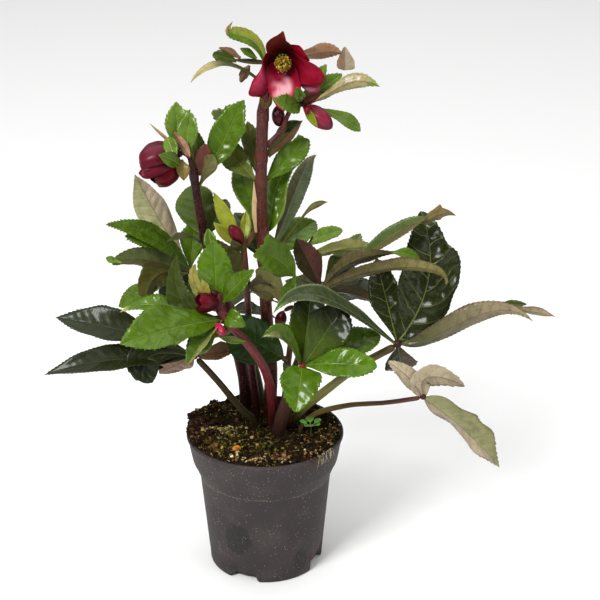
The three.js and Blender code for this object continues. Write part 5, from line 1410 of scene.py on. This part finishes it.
def along_rows(rows, count):
    """Uniform Catmull-Rom curves through the rows: half of 2b + (c - a) t + (2a - 5b + 4c - d) t^2 and
    (3b - 3c + d - a) t^3 between b and c."""
    padded = np.concatenate([2 * rows[:1] - rows[1:2], rows, 2 * rows[-1:] - rows[-2:-1]])
    at = np.linspace(0, len(rows) - 1 - 1e-6, count)
    start = at.astype(int)
    t = (at - start)[:, None, None]
    a, b, c, d = (padded[start + k] for k in range(4))
    return 0.5 * (2 * b + (c - a) * t + (2 * a - 5 * b + 4 * c - d) * t**2 + (3 * b - 3 * c + d - a) * t**3)


# How far the painted shade in the throat darkens a sepal, unless its colours give another share.
THROAT_SHADE = 0.85


def grid_normal(grid):
    """The unit normal of a grid of points: along its rows' step, crossed with its columns' step."""
    return unit(np.cross(np.gradient(grid, axis=0), np.gradient(grid, axis=1)) + 1e-9)


def sepal(sheet, place, table, heart, colours, thick=0.55, rows=56, columns=37):
    """A sepal through its table: each row is widened to a parabola M + v (R - L) / 2 + v^2 ((L + R) / 2 - M)
    and ruffled by noise, and each side stands half the thickness off it. Its inside looks at the heart."""
    ribs = along_rows(np.array([[place(point) for point in row] for row in table]), rows)
    left, middle, right = (ribs[:, k, None] for k in range(3))
    u = np.broadcast_to(np.linspace(0, 1, rows)[:, None], (rows, columns))
    v = np.broadcast_to(np.linspace(-1, 1, columns)[None], (rows, columns))
    s = v[..., None]
    grid = middle + s * (right - left) / 2 + s**2 * ((left + right) / 2 - middle)
    if np.sum(grid_normal(grid) * (heart - grid)) < 0:
        grid, u, v = grid[:, ::-1], u[:, ::-1], v[:, ::-1]
    normal = grid_normal(grid)
    ruffle = 0.75 * noise(grid, 7, 3) * np.abs(v) ** 2 * u + 0.3 * noise(grid, 4, 5) * u
    crease = 0.14 * np.cos(9 * v) * u * (1 - np.abs(v))
    grid = grid + normal * (ruffle + crease)[..., None]
    half = (thick / 2 * (1 - 0.7 * np.abs(v) ** 6))[..., None]
    inside, outside, pale_and_highlight, show, *throat_shade_show = colours
    edge = ease(0.84, 1.0, np.maximum(np.abs(v), u**3))[..., None]
    # The throat mask is painted shade: deep in the cup the inside darkens to near black towards the seat, and the
    # outside darkens towards the seat too.
    throat_shade = (1 - ease(0.12, 0.5, u))[..., None]
    start = u + 0.16 * noise(grid, 3.4, 6) + 0.12 * v
    centre = ease(0.16, 0.6, start) * (1 - 0.95 * ease(0.58, 0.9, u))
    centre = (centre * (1 - ease(0.2, 0.8, np.abs(v + 0.15) + 0.2 * noise(grid, 5, 8))))[..., None]
    # The lighter middle is partly the sepal's own pale centre and partly painted highlight, inside and out.
    inner = mix(paint(inside), paint(pale_and_highlight), show * centre)
    throat_shade = throat_shade * (throat_shade_show or [THROAT_SHADE])[0]
    inner = mix(mix(inner, paint("2c0408"), throat_shade), paint("6c1028"), 0.4 * edge)
    outer = mix(paint(outside), paint(pale_and_highlight), 0.55 * show * (1 - np.abs(s)) * ease(0.2, 0.6, u)[..., None])
    outer = mix(mix(outer, paint("3c1418"), 0.7 * throat_shade), paint("340810"), 0.5 * edge)
    run = np.linalg.norm(np.gradient(middle[:, 0], axis=0), axis=-1).cumsum()[:, None]
    wide = np.linalg.norm(right - left, axis=-1) / 2 * v
    where = stacked(run, wide, u)
    look = np.stack([stacked(np.abs(v), side, 0.34) for side in (1.0, 0.0)])
    layers = {"tint": np.stack([inner, outer]), "look": look, "place": np.stack([where, where])}
    skin(sheet, grid + normal * half, grid - normal * half, **layers)


def grow_bloom(sheet, bloom):
    """The sepals are set out on a plane through the seat that leans back by 22 degrees, as seen from
    VIEWPOINT. Each point then moves toward it by how far forward it lies, plus nod times its height."""
    foot, axis, nod, heart_ahead, sepals, colours = bloom
    seat = vec(*foot)

    def place(point):
        right, up, ahead = point
        flat = seat + [right, 0, 0] + LEAN_BACK * up
        return flat + unit(VIEWPOINT - flat) * (ahead + nod * up)

    forward = bloom_frame(axis)[0]
    heart = seat + forward * heart_ahead
    for table, codes in zip(sepals, colours):
        sepal(sheet, place, table, heart, codes)
    ball(sheet, seat, forward * 2.8, 2.8, ("4a2a20", "3c0c14"), 20, 0.4)


ANTHERS = ("a8862a", "8c7020", "c2a844", "6c5c20")
STYLE_TIPS = 9


def grow_stamens(sheet, bloom, settings):
    """Stamens from a dome, spread by the golden angle: stamen i leans by spread sqrt(i / count). Pale cups
    stand round them and a few white style tips below."""
    seat, axis = bloom[:2]
    forward, upward, right = bloom_frame(axis)
    dome = vec(*seat) + forward * 4.6 + upward * 1.5
    count = settings.stamens
    length = settings.stamen_length / MM
    rng = np.random.default_rng(11)
    index = np.arange(count)
    spread = 0.85 * np.sqrt((index + 0.5) / count)
    turn = index * math.pi * (3 - math.sqrt(5))
    across = (np.cos(turn) * spread + rng.normal(0, 0.04, count))[:, None]
    rise = (np.sin(turn) * spread + rng.normal(0, 0.04, count))[:, None]
    for share, lean in zip(spread, unit(forward + right * across + upward * rise)):
        reach = length * (1 - share / 4) * rng.uniform(0.78, 1.0)
        bend = upward * rng.uniform(-0.5, 0.5) + right * rng.uniform(-0.5, 0.5)
        stops = [dome + lean * reach * at + bend * at**2 for at in (0.15, 0.5, 0.82)]
        tube(sheet, stops, (0.2, 0.16, 0.14), ("8c8a3c", "c8b860"), 5, 3.0, rough=0.5)
        head = [stops[-1], stops[-1] + lean * 1.1, stops[-1] + lean * 2.1]
        gold = ANTHERS[rng.integers(4)]
        tube(sheet, head, (0.35, 0.82, 0.75, 0.3), (gold, gold), 6, 0.55, rough=0.75)
    for k in range(settings.nectaries):
        angle = math.tau * k / settings.nectaries
        radial = right * math.cos(angle) + upward * math.sin(angle)
        foot = dome - forward * 1.5 + radial * 2.6
        stops = (foot, foot + forward * 2.4 + radial * 1.5, foot + forward * 4.6 + radial * 2.2)
        tube(sheet, stops, (0.5, 0.9, 1.0, 0.7), ("4c2a20", "7c7a30"), 8, 0.8, rough=0.4)
    for _ in range(STYLE_TIPS):
        side = rng.uniform(-3.6, 3.6)
        drop = rng.uniform(5.2, 8.4)
        foot = dome + forward * rng.uniform(5.5, 8.0) - upward * drop + right * side
        stops = (foot, foot + forward * 0.9)
        tube(sheet, stops, (0.3, 0.42, 0.2), ("e8c8c0", "f4e8dc"), 6, 0.3, rough=0.4)
    ball(sheet, dome, forward * 3, 3.2, ("5a3420", "6a5a24"), 16, 0.5)


def grow_bud(sheet, seat, tip, radius, code):
    """An egg: r = R sin(pi u)^0.55, with five sepals that lap like tiles, each a small step in r that
    winds slowly round the bud."""
    start, end = vec(*seat), vec(*tip)
    forward = unit(end - start)
    length = np.linalg.norm(end - start)
    lead = vec(0, 0, 1) if abs(forward[2]) < 0.8 else vec(0, 1, 0)
    normal = unit(lead - forward * dot(lead, forward))
    side = np.cross(forward, normal)
    rows, sides = 30, 60
    u = np.linspace(0, 1, rows)[:, None]
    turn = ring_angles(sides)[None]
    part = np.mod(5 * turn / math.tau + 0.55 * u, 1.0)
    lap = ease(0.0, 0.08, part) * (1 - 0.75 * part)
    swell = np.clip(np.sin(math.pi * u), 0, None) ** 0.55
    reach = np.clip(radius * swell, 0.9 * (1 - u) + 0.05, None) * (0.955 + 0.075 * lap + 0.012 * np.cos(15 * turn))
    middle = start + forward * (u * length)
    grid = middle[:, None] + reach[..., None] * (np.cos(turn)[..., None] * normal + np.sin(turn)[..., None] * side)
    shade = (0.82 + 0.3 * lap)[..., None]
    tint = mix(paint(code) * shade, paint("2c0a12"), 0.5 * ease(0.7, 1.0, u)[..., None])
    tint = mix(tint, paint("5c4a22"), 0.5 * (1 - ease(0.0, 0.16, u))[..., None])
    tints = np.broadcast_to(tint, grid.shape).reshape(-1, 3)
    place = stacked(u * length, turn * radius, u)
    sheet.add(
        np.vstack([grid.reshape(-1, 3), start, end]),
        *barrel(rows, sides),
        place=np.vstack([place.reshape(-1, 3), [0, 0, 0], [length, 0, 1]]),
        tint=np.vstack([tints, tints[0], tints[-1]]),
        look=(0, 1, 0.3),
    )


# ---- operators


LOOK_DOWN = 21.75  # degrees the camera looks down
LENS = 79.62  # millimetres, like the sensor
SENSOR = 36
# Name, place in metres, side of the square lamp in metres, and watts.
LAMPS = (
    ("key", (-0.9, -1.3, 1.7), 0.7, 36),
    ("fill", (1.5, -1.1, 1.0), 1.2, 8),
    ("panel", (0.0, 1.5, 5.0), 8.0, 245),
)
LAMP_AIM = vec(0.02, 0.0, 0.24)
FLOOR_REACH = 9000


class HELLEBORE_OT_stage(bpy.types.Operator):
    """Set the floor, the studio lights and the camera"""

    bl_idname = "hellebore.stage"
    bl_label = "Stage"

    def execute(self, context):
        settings = context.scene.hellebore_stage
        sheet = Sheet()
        corners = vec((-1, -1, 0), (1, -1, 0), (1, 1, 0), (-1, 1, 0)) * FLOOR_REACH
        sheet.add(corners, [(0, 1, 2, 3)])
        shader = Shader("floor_paper")
        grain = shader.cloud(shader.mm, 0.6, 3.0)
        colour = shader.blend((*settings.floor, 1.0), "f4f4f2", grain.between(0.4, 0.6) * 0.3)
        shader.done(colour, 0.8 + grain * 0.1, grain, 0.02, 0.1)
        sheet.finish("floor", shader.material, smooth=False)
        world = context.scene.world or bpy.data.worlds.new("studio")
        context.scene.world = world
        world.use_nodes = True
        background = world.node_tree.nodes["Background"].inputs
        background["Color"].default_value = (1, 1, 1, 1)
        background["Strength"].default_value = 0.2 * settings.brightness
        context.scene.view_settings.view_transform = "Standard"
        context.scene.view_settings.look = "Medium High Contrast"
        for name, place, size, power in LAMPS:
            light = bpy.data.lights.new(name, "AREA")
            light.size = size
            light.energy = power * settings.brightness
            lamp = linked(name, light)
            turned_back = unit(vec(*place) - LAMP_AIM)
            lamp.location = place
            lamp.rotation_euler = (math.acos(turned_back[2]), 0, math.atan2(turned_back[0], -turned_back[1]))
        camera = linked("camera", bpy.data.cameras.new("camera"))
        camera.location = VIEWPOINT * MM
        camera.rotation_euler = (math.radians(90 - LOOK_DOWN), 0, 0)
        camera.data.lens = LENS
        camera.data.sensor_width = SENSOR
        context.scene.camera = camera
        return {"FINISHED"}


class HELLEBORE_OT_pot(bpy.types.Operator):
    """Mould the nursery pot with its band, lip and drainage recesses"""

    bl_idname = "hellebore.pot"
    bl_label = "Pot"

    def execute(self, context):
        settings = context.scene.hellebore_pot
        outside, inside = pot_profile(settings.height / MM, settings.lip_radius / MM)
        grid = turned(np.vstack([outside, inside]), 240, settings.recess_height / MM)
        sheet = Sheet()
        lathe(sheet, grid, vec(*settings.plastic), 0.5)
        stand_for(sheet.finish("nursery_pot", pot_material(settings.plastic)), "pot", "pot")
        return {"FINISHED"}


class HELLEBORE_OT_soil(bpy.types.Operator):
    """Fill the pot with peat, crumbs, fibres, chips and moss"""

    bl_idname = "hellebore.soil"
    bl_label = "Soil"

    def execute(self, context):
        settings = context.scene.hellebore_soil
        depth = settings.roughness / MM
        rng = np.random.default_rng(7)
        sheet = Sheet()
        lathe(sheet, soil_body(depth), soil_tint, 0.95)
        places = on_soil(rng, settings.crumbs, 1.0, depth)
        sizes = rng.lognormal(math.log(0.75), 0.45, settings.crumbs)
        browns = choose(rng, PEAT + CHIPS + MOSS[:2], (9, 8, 6, 8, 4, 3, 2.6, 2, 3, 3), settings.crumbs)
        lumps(sheet, places, sizes, browns, rng)
        clods = on_soil(rng, 300, 0.97, depth)
        strew(sheet, rng, clods, (1.3, 3.4), PEAT + CHIPS[:2], (3, 3, 3, 2, 1, 0.6), 1)
        mossy = heap(rng, (-20, -26), (15, 9), 150, (0, 1.6), depth)
        strew(sheet, rng, mossy, (0.7, 2.0), MOSS + CHIPS[2:3], (2, 3, 3, 1, 0.8))
        bank = vec(-59, 6, 119.5) + rng.normal(0, 1, (170, 3)).clip(-1.6, 1.6) * [2.6, 10, 1.5]
        strew(sheet, rng, bank, (1.2, 2.8), ("3a2418", "4a2e1e", "2a1a12", "6c4a30"), (3, 3, 3, 1), 1)
        grit = on_soil(rng, 520, 0.98, depth) + [0, 0, 0.7]
        strew(sheet, rng, grit, (0.4, 0.95), CHIPS + MOSS[2:], (3, 3, 2, 1, 2, 2))
        moss = on_soil(rng, settings.moss, 0.96, depth) + [0, 0, 0.5]
        patch = noise(moss * [1, 1, 0], 17, 6) + 0.3 * noise(moss * [1, 1, 0], 4, 7)
        moss = moss[patch > rng.uniform(-0.4, 0.5, len(moss))]
        lean = unit(rng.normal(0, 0.55, (len(moss), 3)) + [0, 0, 1])
        tall = rng.uniform(1.0, 2.6, (len(moss), 1))
        greens = choose(rng, MOSS, (3, 4, 3, 2), len(moss))
        spikes(sheet, moss - lean * 0.4, moss + lean * tall, rng.uniform(0.22, 0.4, len(moss)), greens)
        chip = settle(vec(-22, -36, 0)[None], depth, 1.5)
        lumps(sheet, chip, vec(4.6), paint("d08a3c")[None], np.random.default_rng(2), 1, 0.5, 0.18)
        clump = vec(11, -44, 0) + rng.normal(0, 2.2, (26, 3)) * [1, 0.7, 0]
        settle(clump, depth, rng.uniform(0.4, 2.6, len(clump)))
        strew(sheet, rng, clump, (0.8, 1.7), ("6a4428", "8a6038", "4a2f1c"), (3, 2, 2))
        piths = settle(vec(*PITHS), depth, 1.0)
        lumps(sheet, piths, vec(2.0, 1.3, 1.4, 1.5, 1.2), np.tile(paint("e2d2ae"), (len(piths), 1)), rng, 1)
        piles = np.random.default_rng(11)
        for middle, spread, count, sizes, codes in HEAPS:
            places = heap(piles, middle, spread, count, (0.2, 1.4), depth)
            tones = choose(piles, codes, (1,) * len(codes), len(places))
            lumps(sheet, places, piles.uniform(*sizes, len(places)), tones, piles)
        stones = settle(vec(*STONES), depth, 1.0)
        count = len(stones)
        lumps(sheet, stones, piles.uniform(1.5, 2.1, count), np.tile(paint("dcc898"), (count, 1)), piles, 1, 0.7, 0.2)
        lay_fibres(sheet, rng, settings.fibres, depth)
        piece = sheet.finish("peat", plain_material("peat", 1.6, 0.6), smooth=False)
        stand_for(piece, "soil", "soil")
        return {"FINISHED"}


class HELLEBORE_OT_stems(bpy.types.Operator):
    """Grow the flowering stems and the leaf stalks"""

    bl_idname = "hellebore.stems"
    bl_label = "Stems and stalks"

    def execute(self, context):
        stem = stem_material("stem_bark", "b87c64", 0.75)
        stalk = stem_material("stalk_skin", "9a8c58", 0.25)
        for table, slot, material, form in (
            (STEMS, "stem", stem, {"ribs": 0.02, "lumps": 0.1}),
            (STALKS, "stalk", stalk, {"ribs": 0.025, "groove": 0.22, "lumps": 0.08}),
        ):
            for name, (points, radii, codes, *branches) in table.items():
                sheet = Sheet()
                root = vec(*points[0]) - [0, 0, ROOT_DEPTH]
                tube(sheet, (root, *points), (radii[0], *radii), codes, 28, 1.8, end=0.97, **form)
                for branch in branches:
                    tube(sheet, *branch, (codes[-1], "4a161c"), 18, 1.2, lumps=0.06)
                stand_for(sheet.finish(f"{name}_skin", material), name, slot)
        return {"FINISHED"}


# How strongly the net of fine veins shows, depth of the relief in millimetres, and gloss.
LEAF_FINISHES = {
    "leaf_mature": (0.16, 0.5, 0.2),
    "leaf_young": (0.22, 0.4, 0.3),
    "leaf_bronze": (0.35, 0.45, 0.08),
    "bract_lime": (0.2, 0.35, 0.1),
}


class HELLEBORE_OT_leaves(bpy.types.Operator):
    """Grow the fans of leaflets and the rings of bracts"""

    bl_idname = "hellebore.leaves"
    bl_label = "Leaves and bracts"

    def execute(self, context):
        settings = context.scene.hellebore_foliage
        materials = {name: leaf_material(name, VEIN_GAP, *finish) for name, finish in LEAF_FINISHES.items()}
        for name, fan in FANS.items():
            sheet = Sheet()
            grow_fan(sheet, fan, settings)
            stand_for(sheet.finish(f"{name}_blades", materials[fan["slot"]]), name, fan["slot"])
        return {"FINISHED"}


# Slot, name, colour of the veins, how strongly they show, and gloss.
SEPAL_FINISHES = {
    "bloom_top": ("sepal", "sepal_open", "6c0c28", 0.4, 0.1),
    "bloom_left": ("bud", "sepal_nodding", "3c0a14", 0.35, 0.2),
    "bloom_front": ("bud", "sepal_half_open", "3a060e", 0.45, 0.3),
}


class HELLEBORE_OT_blooms(bpy.types.Operator):
    """Open the blooms, with the stamens of the open one"""

    bl_idname = "hellebore.blooms"
    bl_label = "Blooms"

    def execute(self, context):
        settings = context.scene.hellebore_bloom
        for name, bloom in BLOOMS.items():
            slot, *finish = SEPAL_FINISHES[name]
            material = sepal_material(*finish)
            sheet = Sheet()
            grow_bloom(sheet, bloom)
            stand_for(sheet.finish(f"{name}_sepals", material), name, slot)
        sheet = Sheet()
        grow_stamens(sheet, BLOOMS["bloom_top"], settings)
        material = plain_material("stamens", 2.2, 0.2, "e6cf78", 0.35)
        stand_for(sheet.finish("stamens_brush", material), "stamens_top", "stamen")
        return {"FINISHED"}


class HELLEBORE_OT_buds(bpy.types.Operator):
    """Form the closed buds"""

    bl_idname = "hellebore.buds"
    bl_label = "Buds"

    def execute(self, context):
        material = sepal_material("bud_skin", "3c0c18", 0.45, 0.35)
        for name, eggs in BUDS.items():
            sheet = Sheet()
            for seat, tip, radius, code in eggs:
                grow_bud(sheet, seat, tip, radius, code)
            stand_for(sheet.finish(f"{name}_skin", material), name, "bud")
        return {"FINISHED"}


SEEDLING = {"foot": (38, -9, 119), "root": 6, "height": 7, "leaves": 5, "turn": 0.5, "spread": 9.5, "lift": 4}
SEEDLING_LEAF = leaf(None, 7, "up", "seedling", (0.5, 0.5), teeth=0, full=0.55, neck=0.3, thick=0.35, wave=0.02,
                     pucker=0.03, rib=0.2, rows=16, columns=11, fold=0.16)


class HELLEBORE_OT_seedling(bpy.types.Operator):
    """Sow the seedling beside the crown"""

    bl_idname = "hellebore.seedling"
    bl_label = "Seedling"

    def execute(self, context):
        made = SEEDLING
        foot = vec(*made["foot"])
        crown = foot + [0, 0, made["height"]]
        sheet = Sheet()
        path = (foot - [0, 0, made["root"]], foot, crown)
        tube(sheet, path, (0.7, 0.7, 0.6), ("4a3c28", "5c6c40"), 10, 1.0, end=0.9)
        for k in range(made["leaves"]):
            turn = math.tau * k / made["leaves"] + made["turn"]
            out = polar(1, turn, 0)
            tip = crown + out * made["spread"] + [0, 0, made["lift"]]
            middle = crown + (tip - crown) * 0.42
            tube(sheet, (crown, middle), (0.35, 0.3), ("7fa860", "7fa860"), 8, 0.6)
            blade(sheet, **{**SEEDLING_LEAF, "root": middle - out * 0.6, "tip": tip})
        material = leaf_material("seedling_leaf", 2.6, 0.1, 0.15, 0.1)
        stand_for(sheet.finish("seedling_leaves", material), "seedling", "seedling")
        return {"FINISHED"}


class HELLEBORE_PT_pieces(bpy.types.Panel):
    """Lists the pieces of the potted hellebore"""

    bl_idname = "HELLEBORE_PT_pieces"
    bl_label = "Potted hellebore"
    bl_space_type = "VIEW_3D"
    bl_region_type = "UI"
    bl_category = "Hellebore"

    def draw(self, context):
        for settings, (_, *names) in SETTINGS.items():
            box = self.layout.box()
            group = getattr(context.scene, settings)
            for name in group.bl_rna.properties.keys():
                if name not in ("rna_type", "name"):
                    box.prop(group, name)
            for operator in names:
                box.operator(f"hellebore.{operator}")


# The settings, and the operators that stand under them in the panel.
SETTINGS = {
    "hellebore_stage": (StageSettings, "stage"),
    "hellebore_pot": (PotSettings, "pot"),
    "hellebore_soil": (SoilSettings, "soil", "seedling"),
    "hellebore_foliage": (FoliageSettings, "stems", "leaves"),
    "hellebore_bloom": (BloomSettings, "blooms", "buds"),
}
OPERATORS = (
    HELLEBORE_OT_stage,
    HELLEBORE_OT_pot,
    HELLEBORE_OT_soil,
    HELLEBORE_OT_stems,
    HELLEBORE_OT_leaves,
    HELLEBORE_OT_blooms,
    HELLEBORE_OT_buds,
    HELLEBORE_OT_seedling,
)


CLASSES = (*(kind for kind, *_ in SETTINGS.values()), *OPERATORS, HELLEBORE_PT_pieces)


def register():
    for kind in CLASSES:
        bpy.utils.register_class(kind)
    for name, (kind, *_) in SETTINGS.items():
        setattr(bpy.types.Scene, name, bpy.props.PointerProperty(type=kind))


def unregister():
    for name in SETTINGS:
        delattr(bpy.types.Scene, name)
    for kind in reversed(CLASSES):
        bpy.utils.unregister_class(kind)


def main():
    register()
    for operator in OPERATORS:
        group, name = operator.bl_idname.split(".")
        getattr(getattr(bpy.ops, group), name)()


if __name__ == "__main__":
    main()
